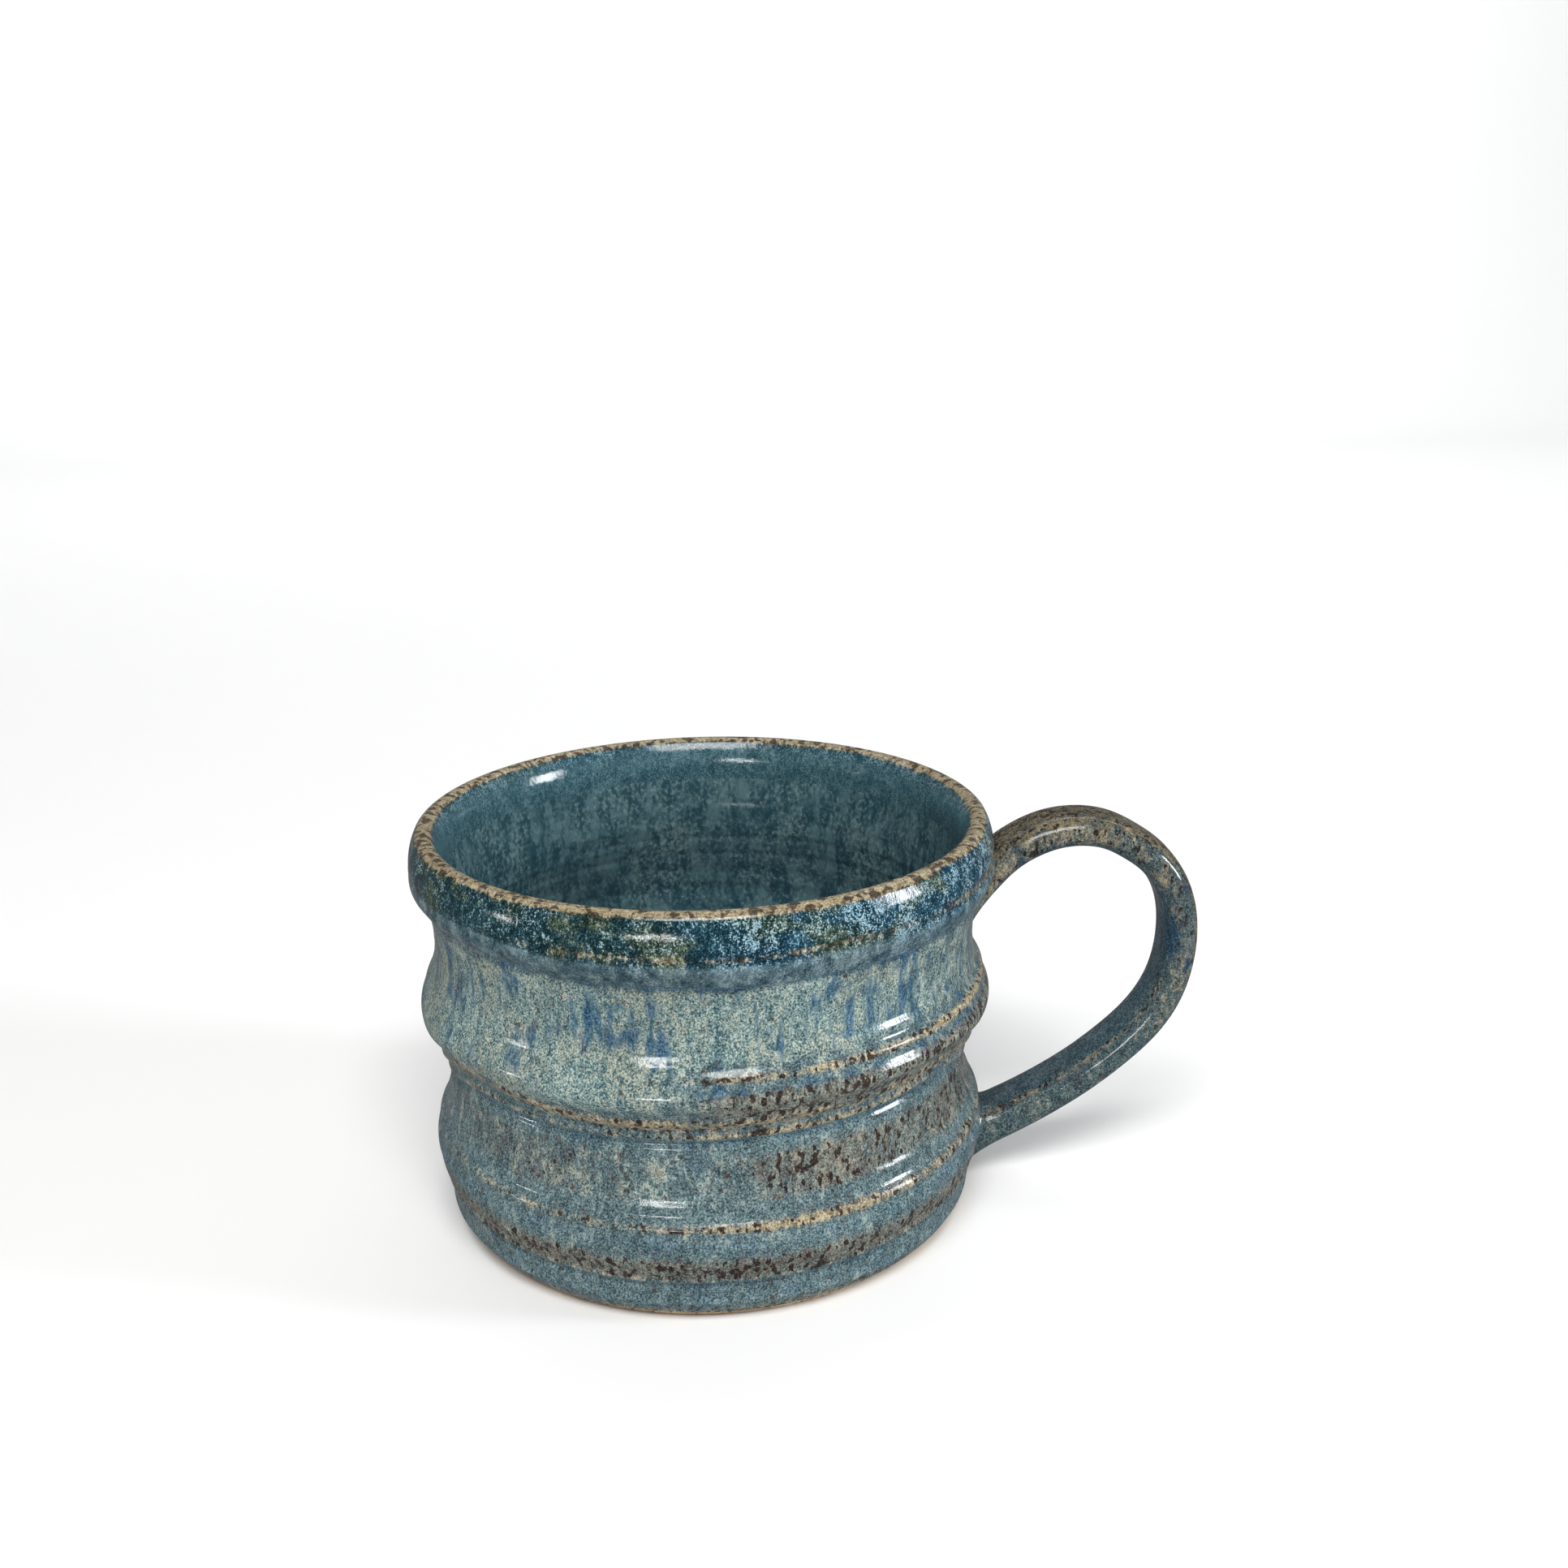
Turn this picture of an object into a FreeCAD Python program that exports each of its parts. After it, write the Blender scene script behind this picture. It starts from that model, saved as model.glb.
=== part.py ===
import FreeCAD, Part
import os
import Sketcher

# Wheel-thrown stoneware mug, millimetres.
# Frame: +Z up, origin at the centre of the foot on the surface it stands on,
# handle on the +X side, symmetry plane XZ.
#
# The mug is four lumps of clay (thrown cup, pulled handle strap, and the wad of
# clay worked round each end of the strap) under four coats of glaze (outside
# coat, liner, the second dip over the rim, and the coat on the handle).

os.makedirs("parts", exist_ok=True)
doc = FreeCAD.newDocument("Mug")

# ---------------------------------------------------------------- dimensions
sheet = doc.addObject("Spreadsheet::Sheet", "Dims")
DIMS = [
    # finished outside of the cup: radius and height of each turning point
    ("foot_radius", 46.9),
    ("glaze_line_height", 3.0),
    ("glaze_line_radius", 49.35),
    ("crease_height", 7.7),
    ("crease_radius", 50.45),
    ("crease_depth", 0.35),
    ("low_belly_radius", 52.45),
    ("low_belly_height", 15.9),
    ("low_belly_arc", 7.5),
    ("low_neck_radius", 49.1),
    ("low_neck_height", 29.3),
    ("low_neck_arc", 17.5),
    ("mid_belly_radius", 53.6),
    ("mid_belly_height", 42.9),
    ("mid_belly_arc", 7.5),
    ("high_neck_radius", 50.3),
    ("high_neck_height", 55.4),
    ("high_neck_arc", 19.0),
    ("rim_belly_radius", 54.0),
    ("rim_belly_height", 70.0),
    ("rim_outer_arc", 11.3),
    ("mug_height", 76.2),
    ("lip_radius", 51.0),
    ("lip_arc", 2.0),
    # finished inside of the cup
    ("rim_inner_arc", 9.0),
    ("mouth_radius", 47.6),
    ("mouth_height", 70.0),
    ("inner_neck_radius", 46.2),
    ("inner_neck_height", 57.0),
    ("inner_neck_arc", 36.0),
    ("inner_belly_radius", 47.2),
    ("inner_belly_height", 43.5),
    ("inner_belly_arc", 22.0),
    ("inner_waist_radius", 44.7),
    ("inner_waist_height", 29.5),
    ("inner_waist_arc", 22.0),
    ("inner_foot_radius", 45.4),
    ("inner_foot_height", 20.5),
    ("floor_corner_arc", 12.5),
    # underside
    ("recess_radius", 40.0),
    ("recess_depth", 1.2),
    ("recess_corner", 1.2),
    # glaze
    ("glaze_thickness", 0.45),
    ("glaze_roll", 0.3),
    ("rim_glaze_height", 64.0),
    ("liner_top_height", 66.0),
    ("wall_split_radius", 48.2),
    ("mouth_plug_radius", 50.0),
    # handle strap: centreline points and arcs, section
    ("strap_width", 12.5),
    ("strap_thickness", 7.3),
    ("strap_corner", 2.9),
    ("handle_root_x", 51.9),
    ("handle_top_x", 70.9),
    ("handle_top_z", 71.0),
    ("handle_out_x", 89.9),
    ("handle_out_z", 49.8),
    ("handle_heel_x", 44.0),
    ("handle_shoulder_arc", 23.0),
    ("handle_crown_arc", 16.2),
    ("handle_side_arc", 31.5),
    ("handle_side_angle", 41.3),
    ("handle_tail_arc", 100.0),
    ("handle_tail_x", 52.5),
    # wads of clay round the two ends of the strap
    ("upper_wad_x", 50.6),
    ("upper_wad_z", 62.2),
    ("upper_wad_reach", 5.8),
    ("upper_wad_half_width", 8.6),
    ("upper_wad_half_height", 10.4),
    ("lower_wad_x", 50.2),
    ("lower_wad_z", 10.6),
    ("lower_wad_reach", 5.6),
    ("lower_wad_half_width", 8.6),
    ("lower_wad_half_height", 7.6),
]
for row, (alias, value) in enumerate(DIMS, start=1):
    sheet.set("A%d" % row, alias)
    sheet.set("B%d" % row, repr(float(value)))
    sheet.setAlias("B%d" % row, alias)
doc.recompute()


def dim(alias):
    return float(getattr(sheet, alias))


# ------------------------------------------------------------------- helpers
def origin_plane(body, role):
    for feature in body.Origin.OriginFeatures:
        if feature.Role == role:
            return feature
    raise RuntimeError("no plane " + role)


def new_sketch(body, name, role):
    sketch = body.newObject("Sketcher::SketchObject", name)
    sketch.AttachmentSupport = [(origin_plane(body, role), "")]
    sketch.MapMode = "FlatFace"
    return sketch


def vec(x, y):
    return FreeCAD.Vector(x, y, 0)


def arc(centre, radius, a, b):
    """Arc from point a to point b, the short way, whichever way it turns."""
    import math
    ta = math.atan2(a[1] - centre[1], a[0] - centre[0])
    tb = math.atan2(b[1] - centre[1], b[0] - centre[0])
    turn = (tb - ta + math.pi) % (2 * math.pi) - math.pi
    circle = Part.Circle(vec(*centre), FreeCAD.Vector(0, 0, 1), radius)
    if turn >= 0:
        return Part.ArcOfCircle(circle, ta, ta + turn), 1, 2
    return Part.ArcOfCircle(circle, tb, tb - turn), 2, 1


class Chain:
    """A closed outline of lines and arcs, its vertices and radii bound to the sheet."""

    def __init__(self, sketch):
        self.sk = sketch
        self.items = []      # (geometry id, start vertex, end vertex)
        self.n = 0

    def line(self, a, b):
        g = self.sk.addGeometry(Part.LineSegment(vec(*a), vec(*b)), False)
        self.items.append((g, 1, 2, a, b))
        return g

    def arc(self, centre, radius, a, b):
        shape, s, e = arc(centre, radius, a, b)
        g = self.sk.addGeometry(shape, False)
        self.items.append((g, s, e, a, b))
        return g

    def bind(self, constraint, expression):
        i = self.sk.addConstraint(constraint)
        if expression is not None:
            self.sk.setExpression("Constraints[%d]" % i, expression)
        return i

    def point(self, g, pos, x, y, ex, ey):
        if ex is None:
            self.sk.addConstraint(Sketcher.Constraint("PointOnObject", g, pos, -2))
        else:
            self.bind(Sketcher.Constraint("DistanceX", -1, 1, g, pos, x), ex)
        if ey is None:
            self.sk.addConstraint(Sketcher.Constraint("PointOnObject", g, pos, -1))
        else:
            self.bind(Sketcher.Constraint("DistanceY", -1, 1, g, pos, y), ey)


def s_curve(a, b, first):
    """Two arcs from turning point a to turning point b, both upright there:
    the meeting point, the two centres and the second radius.
    a and b are (radius, height); first is the radius of the arc at a."""
    dr, dz = b[0] - a[0], b[1] - a[1]
    total = (dr * dr + dz * dz) / (2 * abs(dr))
    second = total - first
    side = 1 if dr > 0 else -1
    ca = (a[0] + side * first, a[1])
    cb = (b[0] - side * second, b[1])
    k = first / total
    meet = (ca[0] + (cb[0] - ca[0]) * k, ca[1] + (cb[1] - ca[1]) * k)
    return ca, cb, second, meet


def cup_outline(sketch, clay):
    """Half section of the cup in the XZ plane. clay False: with its glaze on,
    True: bare clay, so each glazed face is set back by the glaze."""
    g = dim("glaze_thickness") if clay else 0.0
    out = " - Dims.glaze_thickness" if clay else ""
    inn = " + Dims.glaze_thickness" if clay else ""
    ch = Chain(sketch)

    def tang(i, j):
        gi, gj = ch.items[i], ch.items[j]
        sketch.addConstraint(Sketcher.Constraint("Tangent", gi[0], gi[2], gj[0], gj[1]))

    def join(i, j):
        gi, gj = ch.items[i], ch.items[j]
        sketch.addConstraint(Sketcher.Constraint("Coincident", gi[0], gi[2], gj[0], gj[1]))

    def level(i, which):
        """The arc's centre lies level with its vertex, so the arc is upright there."""
        gi = ch.items[i]
        sketch.addConstraint(Sketcher.Constraint("Horizontal", gi[0], 3, gi[0], gi[which]))

    # underside, from the axis out
    rr, rd, fr = dim("recess_radius"), dim("recess_depth"), dim("foot_radius")
    ch.line((0, rd), (rr - dim("recess_corner"), rd))                      # 0
    ch.line((rr - dim("recess_corner"), rd), (rr, 0))                      # 1
    ch.line((rr, 0), (fr, 0))                                              # 2
    # bare bevel up to the glaze line, then the glaze stands out by its own thickness
    bevel = (dim("glaze_line_radius") - dim("glaze_thickness"), dim("glaze_line_height"))
    ch.line((fr, 0), bevel)                                                # 3
    gl = (dim("glaze_line_radius") - g, dim("glaze_line_height") + dim("glaze_roll"))
    ch.line(bevel, gl)                                                     # 4
    cr, chh, cd = dim("crease_radius") - g, dim("crease_height"), dim("crease_depth")
    ch.line(gl, (cr, chh - 0.7))                                           # 5
    ch.line((cr, chh - 0.7), (cr - cd, chh))                               # 6
    ch.line((cr - cd, chh), (cr + 0.25, chh + 0.9))                        # 7
    # low belly: its lower side is one arc from the crease, upright at the belly
    b1 = (dim("low_belly_radius") - g, dim("low_belly_height"))
    p6 = (cr + 0.25, chh + 0.9)
    dx, dz = b1[0] - p6[0], b1[1] - p6[1]
    r6 = (dx * dx + dz * dz) / (2 * dx)
    ch.arc((b1[0] - r6, b1[1]), r6, p6, b1)                                # 8
    turning = [
        ("low_belly", b1, dim("low_belly_arc") - 0.0),
        ("low_neck", (dim("low_neck_radius") - g, dim("low_neck_height")), dim("low_neck_arc")),
        ("mid_belly", (dim("mid_belly_radius") - g, dim("mid_belly_height")), dim("mid_belly_arc")),
        ("high_neck", (dim("high_neck_radius") - g, dim("high_neck_height")), dim("high_neck_arc")),
        ("rim_belly", (dim("rim_belly_radius") - g, dim("rim_belly_height")), None),
    ]
    arcs_first = []
    for (na, a, ra), (nb, b, _) in zip(turning, turning[1:]):
        # a belly shrinks and a neck grows as its glaze comes off
        first = ra - g if na.endswith("belly") else ra + g
        ca, cb, second, meet = s_curve(a, b, first)
        ch.arc(ca, first, a, meet)
        arcs_first.append((len(ch.items) - 1, na, first))
        ch.arc(cb, second, meet, b)
    i_rim = len(ch.items)                                                  # 17
    # lip: big arc, small crest arc, big inner arc
    R1, R2, R3 = dim("rim_outer_arc") - g, dim("lip_arc") - g, dim("rim_inner_arc") - g
    rb = turning[-1][1]
    top = dim("mug_height") - g
    lc = (dim("lip_radius"), top - R2)
    c1 = (rb[0] - R1, rb[1])
    import math
    d1 = math.hypot(lc[0] - c1[0], lc[1] - c1[1])
    t1 = (c1[0] + (lc[0] - c1[0]) * R1 / d1, c1[1] + (lc[1] - c1[1]) * R1 / d1)
    mouth = (dim("mouth_radius") + g, dim("mouth_height"))
    c3 = (mouth[0] + R3, mouth[1])
    d3 = math.hypot(lc[0] - c3[0], lc[1] - c3[1])
    t3 = (c3[0] + (lc[0] - c3[0]) * R3 / d3, c3[1] + (lc[1] - c3[1]) * R3 / d3)
    crest = (lc[0], top)
    ch.arc(c1, R1, rb, t1)                                                 # i_rim
    ch.arc(lc, R2, t1, crest)                                              # i_rim+1
    ch.arc(lc, R2, crest, t3)                                              # i_rim+2
    ch.arc(c3, R3, t3, mouth)                                              # i_rim+3
    # inside, going down
    inner = [
        ("mouth", mouth, None),
        ("inner_neck", (dim("inner_neck_radius") + g, dim("inner_neck_height")), dim("inner_neck_arc")),
        ("inner_belly", (dim("inner_belly_radius") + g, dim("inner_belly_height")), dim("inner_belly_arc")),
        ("inner_waist", (dim("inner_waist_radius") + g, dim("inner_waist_height")), dim("inner_waist_arc")),
        ("inner_foot", (dim("inner_foot_radius") + g, dim("inner_foot_height")), None),
    ]
    inner_second = []
    for (na, a, _), (nb, b, rbb) in zip(inner, inner[1:]):
        if rbb is None:
            rbb = 18.0
        # the inside is bound by the arc at the lower turning point of each pair
        second = rbb - g if nb in ("inner_neck", "inner_waist") else rbb + g
        cb_, ca_, first, meet = s_curve(b, a, second)
        ch.arc(ca_, first, a, meet)
        ch.arc(cb_, second, meet, b)
        inner_second.append((len(ch.items) - 1, nb, second))
    foot_in = inner[-1][1]
    rc = dim("floor_corner_arc") + g
    fz = foot_in[1] - rc
    i_corner = len(ch.items)
    ch.arc((foot_in[0] - rc, foot_in[1]), rc, foot_in, (foot_in[0] - rc, fz))
    ch.line((foot_in[0] - rc, fz), (0, fz))
    ch.line((0, fz), (0, rd))
    last = len(ch.items) - 1

    sk = sketch
    D = "Dims."
    # vertices fixed by the sheet
    ch.point(ch.items[0][0], ch.items[0][1], 0, rd, None, D + "recess_depth")
    ch.point(ch.items[0][0], ch.items[0][2], rr - dim("recess_corner"), rd,
             "Dims.recess_radius - Dims.recess_corner", D + "recess_depth")
    join(0, 1)
    ch.point(ch.items[1][0], ch.items[1][2], rr, 0, D + "recess_radius", None)
    join(1, 2)
    ch.point(ch.items[2][0], ch.items[2][2], fr, 0, D + "foot_radius", None)
    join(2, 3)
    ch.point(ch.items[3][0], ch.items[3][2], bevel[0], bevel[1],
             "Dims.glaze_line_radius - Dims.glaze_thickness", D + "glaze_line_height")
    join(3, 4)
    ch.point(ch.items[4][0], ch.items[4][2], gl[0], gl[1],
             D + "glaze_line_radius" + out, "Dims.glaze_line_height + Dims.glaze_roll")
    join(4, 5)
    ch.point(ch.items[5][0], ch.items[5][2], cr, chh - 0.7,
             D + "crease_radius" + out, "Dims.crease_height - 0.7")
    join(5, 6)
    ch.point(ch.items[6][0], ch.items[6][2], cr - cd, chh,
             "Dims.crease_radius - Dims.crease_depth" + out, D + "crease_height")
    join(6, 7)
    ch.point(ch.items[7][0], ch.items[7][2], p6[0], p6[1],
             "Dims.crease_radius + 0.25" + out, "Dims.crease_height + 0.9")
    join(7, 8)
    names = [t[0] for t in turning]
    ends = [8, 10, 12, 14, 16]
    for name, i, (_, p, _r) in zip(names, ends, turning):
        ch.point(ch.items[i][0], ch.items[i][2], p[0], p[1],
                 D + name + "_radius" + out, D + name + "_height")
        level(i, 2)
        join(i, i + 1)
        level(i + 1, 1)
    for i, name, first in arcs_first:
        expr = D + name + "_arc" + (out if name.endswith("belly") else inn)
        ch.bind(Sketcher.Constraint("Radius", ch.items[i][0], first), expr)
        tang(i, i + 1)
    # lip
    crest_i = i_rim + 1
    ch.point(ch.items[crest_i][0], ch.items[crest_i][2], crest[0], crest[1],
             D + "lip_radius", D + "mug_height" + out)
    join(crest_i, crest_i + 1)
    sk.addConstraint(Sketcher.Constraint("Vertical", ch.items[crest_i][0], 3, ch.items[crest_i][0], ch.items[crest_i][2]))
    sk.addConstraint(Sketcher.Constraint("Vertical", ch.items[crest_i + 1][0], 3, ch.items[crest_i + 1][0], ch.items[crest_i + 1][1]))
    ch.bind(Sketcher.Constraint("Radius", ch.items[crest_i][0], R2), D + "lip_arc" + out)
    ch.bind(Sketcher.Constraint("Radius", ch.items[crest_i + 1][0], R2), D + "lip_arc" + out)
    tang(i_rim, i_rim + 1)
    tang(i_rim + 2, i_rim + 3)
    i_mouth = i_rim + 3
    level(i_mouth, 2)
    ch.point(ch.items[i_mouth][0], ch.items[i_mouth][2], mouth[0], mouth[1],
             D + "mouth_radius" + inn, D + "mouth_height")
    join(i_mouth, i_mouth + 1)
    level(i_mouth + 1, 1)
    k = i_mouth + 1
    for (i, name, second), (_, p, _r) in zip(inner_second, inner[1:]):
        tang(i - 1, i)
        ch.point(ch.items[i][0], ch.items[i][2], p[0], p[1],
                 D + name + "_radius" + inn, D + name + "_height")
        level(i, 2)
        join(i, i + 1)
        level(i + 1, 1)
        if name == "inner_foot":
            ch.bind(Sketcher.Constraint("Radius", ch.items[i][0], second), "18" + inn)
        else:
            sign = out if name in ("inner_neck", "inner_waist") else inn
            ch.bind(Sketcher.Constraint("Radius", ch.items[i][0], second), D + name + "_arc" + sign)
    ch.bind(Sketcher.Constraint("Radius", ch.items[i_corner][0], rc), D + "floor_corner_arc" + inn)
    sk.addConstraint(Sketcher.Constraint("Vertical", ch.items[i_corner][0], 3, ch.items[i_corner][0], ch.items[i_corner][2]))
    join(i_corner, i_corner + 1)
    sk.addConstraint(Sketcher.Constraint("Horizontal", ch.items[i_corner + 1][0]))
    join(i_corner + 1, last)
    sk.addConstraint(Sketcher.Constraint("PointOnObject", ch.items[last][0], 1, -2))
    join(last, 0)
    return ch


def revolved_body(name, label, clay):
    body = doc.addObject("PartDesign::Body", name)
    body.Label = label
    sketch = new_sketch(body, name + "Section", "XZ_Plane")
    cup_outline(sketch, clay)
    doc.recompute()
    turn = body.newObject("PartDesign::Revolution", name + "Turn")
    turn.Profile = sketch
    turn.ReferenceAxis = (sketch, ["V_Axis"])
    turn.Angle = 360.0
    body.Tip = turn
    doc.recompute()
    return body, sketch


# ------------------------------------------------------------------ the cup
thrown_cup, cup_sketch = revolved_body("ThrownCup", "thrown_cup", True)
glazed_form, form_sketch = revolved_body("GlazedForm", "glazed_form", False)
print("cup section free moves:", cup_sketch.solve(), form_sketch.solve())
print("clay volume cm3", thrown_cup.Shape.Volume / 1000, "with glaze", glazed_form.Shape.Volume / 1000)

# the cup with its hollow filled: what trims the handle where it meets the wall
hollow = doc.addObject("Part::Cylinder", "Hollow")
hollow.Radius = 48.2
hollow.setExpression("Radius", "Dims.wall_split_radius")
hollow.setExpression("Height", "Dims.rim_belly_height - Dims.recess_depth - 1")
hollow.setExpression("Placement.Base.z", "Dims.recess_depth + 0.5")
mouth_plug = doc.addObject("Part::Cylinder", "MouthPlug")
mouth_plug.setExpression("Radius", "Dims.mouth_plug_radius")
mouth_plug.setExpression("Height", "Dims.mug_height - Dims.glaze_thickness - Dims.rim_glaze_height + 0.5")
mouth_plug.setExpression("Placement.Base.z", "Dims.rim_glaze_height - 2")
filled = doc.addObject("Part::MultiFuse", "FilledCup")
filled.Shapes = [thrown_cup, hollow, mouth_plug]
doc.recompute()

# --------------------------------------------------------------- the handle
import math


def spine_sketch(body, name):
    """Centreline of the strap in the XZ plane: straight root in the wall, shoulder,
    crown, side and tail arcs, straight heel in the wall, each tangent to the next."""
    sk = new_sketch(body, name, "XZ_Plane")
    rx, tx, tz = dim("handle_root_x"), dim("handle_top_x"), dim("handle_top_z")
    ox, oz, hx = dim("handle_out_x"), dim("handle_out_z"), dim("handle_heel_x")
    R0, Ra, Rc, Rt = (dim("handle_shoulder_arc"), dim("handle_crown_arc"),
                      dim("handle_side_arc"), dim("handle_tail_arc"))
    ang = math.radians(dim("handle_side_angle"))
    c0 = (tx, tz - R0)
    p0 = (rx, c0[1] + math.sqrt(R0 ** 2 - (rx - tx) ** 2))
    d0 = ((c0[1] - p0[1]) / R0, (p0[0] - c0[0]) / R0)      # down and inward along the tangent
    start = (hx, p0[1] + (hx - rx) / d0[0] * d0[1])
    # crown: second radius that also ends upright at the outermost point
    ca = (tx, tz - Ra)
    u, w = ox - tx, ca[1] - oz
    Rb = (u * u + w * w - Ra * Ra) / (2 * (u - Ra))
    cb = (ox - Rb, oz)
    dd = math.hypot(ca[0] - cb[0], ca[1] - cb[1])
    m = (cb[0] + (ca[0] - cb[0]) * Rb / dd, cb[1] + (ca[1] - cb[1]) * Rb / dd)
    cc = (ox - Rc, oz)
    q = (cc[0] + Rc * math.cos(math.pi / 2 - ang), cc[1] - Rc * math.sin(math.pi / 2 - ang))
    q = (cc[0] + Rc * math.sin(ang), cc[1] - Rc * math.cos(ang))
    # direction at q is -(cos, sin) of ang ; tail arc bends back up the other way
    ct = (cc[0] + (q[0] - cc[0]) * (Rc - Rt) / Rc, cc[1] + (q[1] - cc[1]) * (Rc - Rt) / Rc)
    lx = dim("handle_tail_x")
    l = (lx, ct[1] - math.sqrt(Rt ** 2 - (lx - ct[0]) ** 2))
    dl = ((l[1] - ct[1]) / Rt, (ct[0] - l[0]) / Rt)
    end = (hx, l[1] + (hx - lx) / dl[0] * dl[1])
    ch = Chain(sk)
    ch.line(start, p0)                 # 0
    ch.arc(c0, R0, p0, (tx, tz))       # 1
    ch.arc(ca, Ra, (tx, tz), m)        # 2
    ch.arc(cb, Rb, m, (ox, oz))        # 3
    ch.arc(cc, Rc, (ox, oz), q)        # 4
    ch.arc(ct, Rt, q, l)               # 5
    ch.line(l, end)                    # 6
    it = ch.items
    add = lambda *a: sk.addConstraint(Sketcher.Constraint(*a))
    for i in (0, 2, 4, 5):
        add("Tangent", it[i][0], it[i][2], it[i + 1][0], it[i + 1][1])
    add("Coincident", it[1][0], it[1][2], it[2][0], it[2][1])
    add("Coincident", it[3][0], it[3][2], it[4][0], it[4][1])
    add("Vertical", it[1][0], 3, it[1][0], it[1][2])
    add("Vertical", it[2][0], 3, it[2][0], it[2][1])
    add("Horizontal", it[3][0], 3, it[3][0], it[3][2])
    add("Horizontal", it[4][0], 3, it[4][0], it[4][1])
    ch.bind(Sketcher.Constraint("DistanceX", -1, 1, it[0][0], it[0][1], hx), "Dims.handle_heel_x")
    ch.bind(Sketcher.Constraint("DistanceX", -1, 1, it[1][0], it[1][1], rx), "Dims.handle_root_x")
    ch.point(it[1][0], it[1][2], tx, tz, "Dims.handle_top_x", "Dims.handle_top_z")
    ch.point(it[3][0], it[3][2], ox, oz, "Dims.handle_out_x", "Dims.handle_out_z")
    ch.bind(Sketcher.Constraint("Radius", it[1][0], R0), "Dims.handle_shoulder_arc")
    ch.bind(Sketcher.Constraint("Radius", it[2][0], Ra), "Dims.handle_crown_arc")
    ch.bind(Sketcher.Constraint("Radius", it[4][0], Rc), "Dims.handle_side_arc")
    ch.bind(Sketcher.Constraint("Radius", it[5][0], Rt), "Dims.handle_tail_arc")
    ch.bind(Sketcher.Constraint("DistanceX", -1, 1, it[4][0], it[4][2], q[0]),
            "Dims.handle_out_x - Dims.handle_side_arc * (1 - sin(Dims.handle_side_angle * 1 deg))")
    ch.bind(Sketcher.Constraint("DistanceX", -1, 1, it[5][0], it[5][2], l[0]), "Dims.handle_tail_x")
    ch.bind(Sketcher.Constraint("DistanceX", -1, 1, it[6][0], it[6][2], hx), "Dims.handle_heel_x")
    return sk, start, d0


def strap_body(name, label, glazed):
    body = doc.addObject("PartDesign::Body", name)
    body.Label = label
    spine, start, d0 = spine_sketch(body, name + "Spine")
    doc.recompute()
    # section across the start of the centreline: a flat strap with rounded corners
    section = body.newObject("Sketcher::SketchObject", name + "Section")
    section.AttachmentSupport = [(origin_plane(body, "XY_Plane"), "")]
    section.MapMode = "FlatFace"
    normal = FreeCAD.Vector(-d0[0], 0, -d0[1])
    turn = FreeCAD.Rotation(FreeCAD.Vector(0, 0, 1), normal)
    section.AttachmentOffset = FreeCAD.Placement(FreeCAD.Vector(start[0], 0, start[1]), turn)
    g = dim("glaze_thickness") if glazed else 0.0
    ge = " + Dims.glaze_thickness" if glazed else ""
    hw, ht, rc = dim("strap_width") / 2 + g, dim("strap_thickness") / 2 + g, dim("strap_corner") + g
    ch = Chain(section)
    P = [(ht, -hw + rc), (ht, hw - rc), (ht - rc, hw), (-ht + rc, hw),
         (-ht, hw - rc), (-ht, -hw + rc), (-ht + rc, -hw), (ht - rc, -hw)]
    C = [(ht - rc, hw - rc), (-ht + rc, hw - rc), (-ht + rc, -hw + rc), (ht - rc, -hw + rc)]
    ch.line(P[0], P[1])
    ch.arc(C[0], rc, P[1], P[2])
    ch.line(P[2], P[3])
    ch.arc(C[1], rc, P[3], P[4])
    ch.line(P[4], P[5])
    ch.arc(C[2], rc, P[5], P[6])
    ch.line(P[6], P[7])
    ch.arc(C[3], rc, P[7], P[0])
    it = ch.items
    for i in range(8):
        j = (i + 1) % 8
        section.addConstraint(Sketcher.Constraint("Tangent", it[i][0], it[i][2], it[j][0], it[j][1]))
    section.addConstraint(Sketcher.Constraint("Vertical", it[0][0]))
    for i in (3, 5, 7):
        section.addConstraint(Sketcher.Constraint("Equal", it[1][0], it[i][0]))
    ch.bind(Sketcher.Constraint("Radius", it[1][0], rc), "Dims.strap_corner" + ge)
    ch.bind(Sketcher.Constraint("DistanceX", -1, 1, it[0][0], it[0][2], ht), "Dims.strap_thickness / 2" + ge)
    ch.bind(Sketcher.Constraint("DistanceX", it[4][0], it[4][1], -1, 1, ht), "Dims.strap_thickness / 2" + ge)
    ch.bind(Sketcher.Constraint("DistanceY", -1, 1, it[2][0], it[2][1], hw), "Dims.strap_width / 2" + ge)
    ch.bind(Sketcher.Constraint("DistanceY", it[6][0], it[6][1], -1, 1, hw), "Dims.strap_width / 2" + ge)
    doc.recompute()
    pipe = body.newObject("PartDesign::AdditivePipe", name + "Pull")
    pipe.Profile = section
    pipe.Spine = (spine, ["Edge%d" % i for i in range(1, 8)])
    pipe.Mode = "Binormal"
    pipe.Binormal = FreeCAD.Vector(0, 1, 0)
    body.Tip = pipe
    doc.recompute()
    return body, spine, section


strap, strap_spine, strap_section = strap_body("Strap", "strap_clay_form", False)
strap_coat, coat_spine, coat_section = strap_body("StrapCoat", "strap_glazed_form", True)
print("strap solve", strap_spine.solve(), strap_section.solve(), coat_spine.solve(), coat_section.solve())
length = sum(e.Length for e in strap_spine.Shape.Edges)
print("strap length", length, "section", strap.Shape.Volume / length if not strap.Shape.isNull() else None)
print("strap box", strap.Shape.BoundBox)


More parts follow.
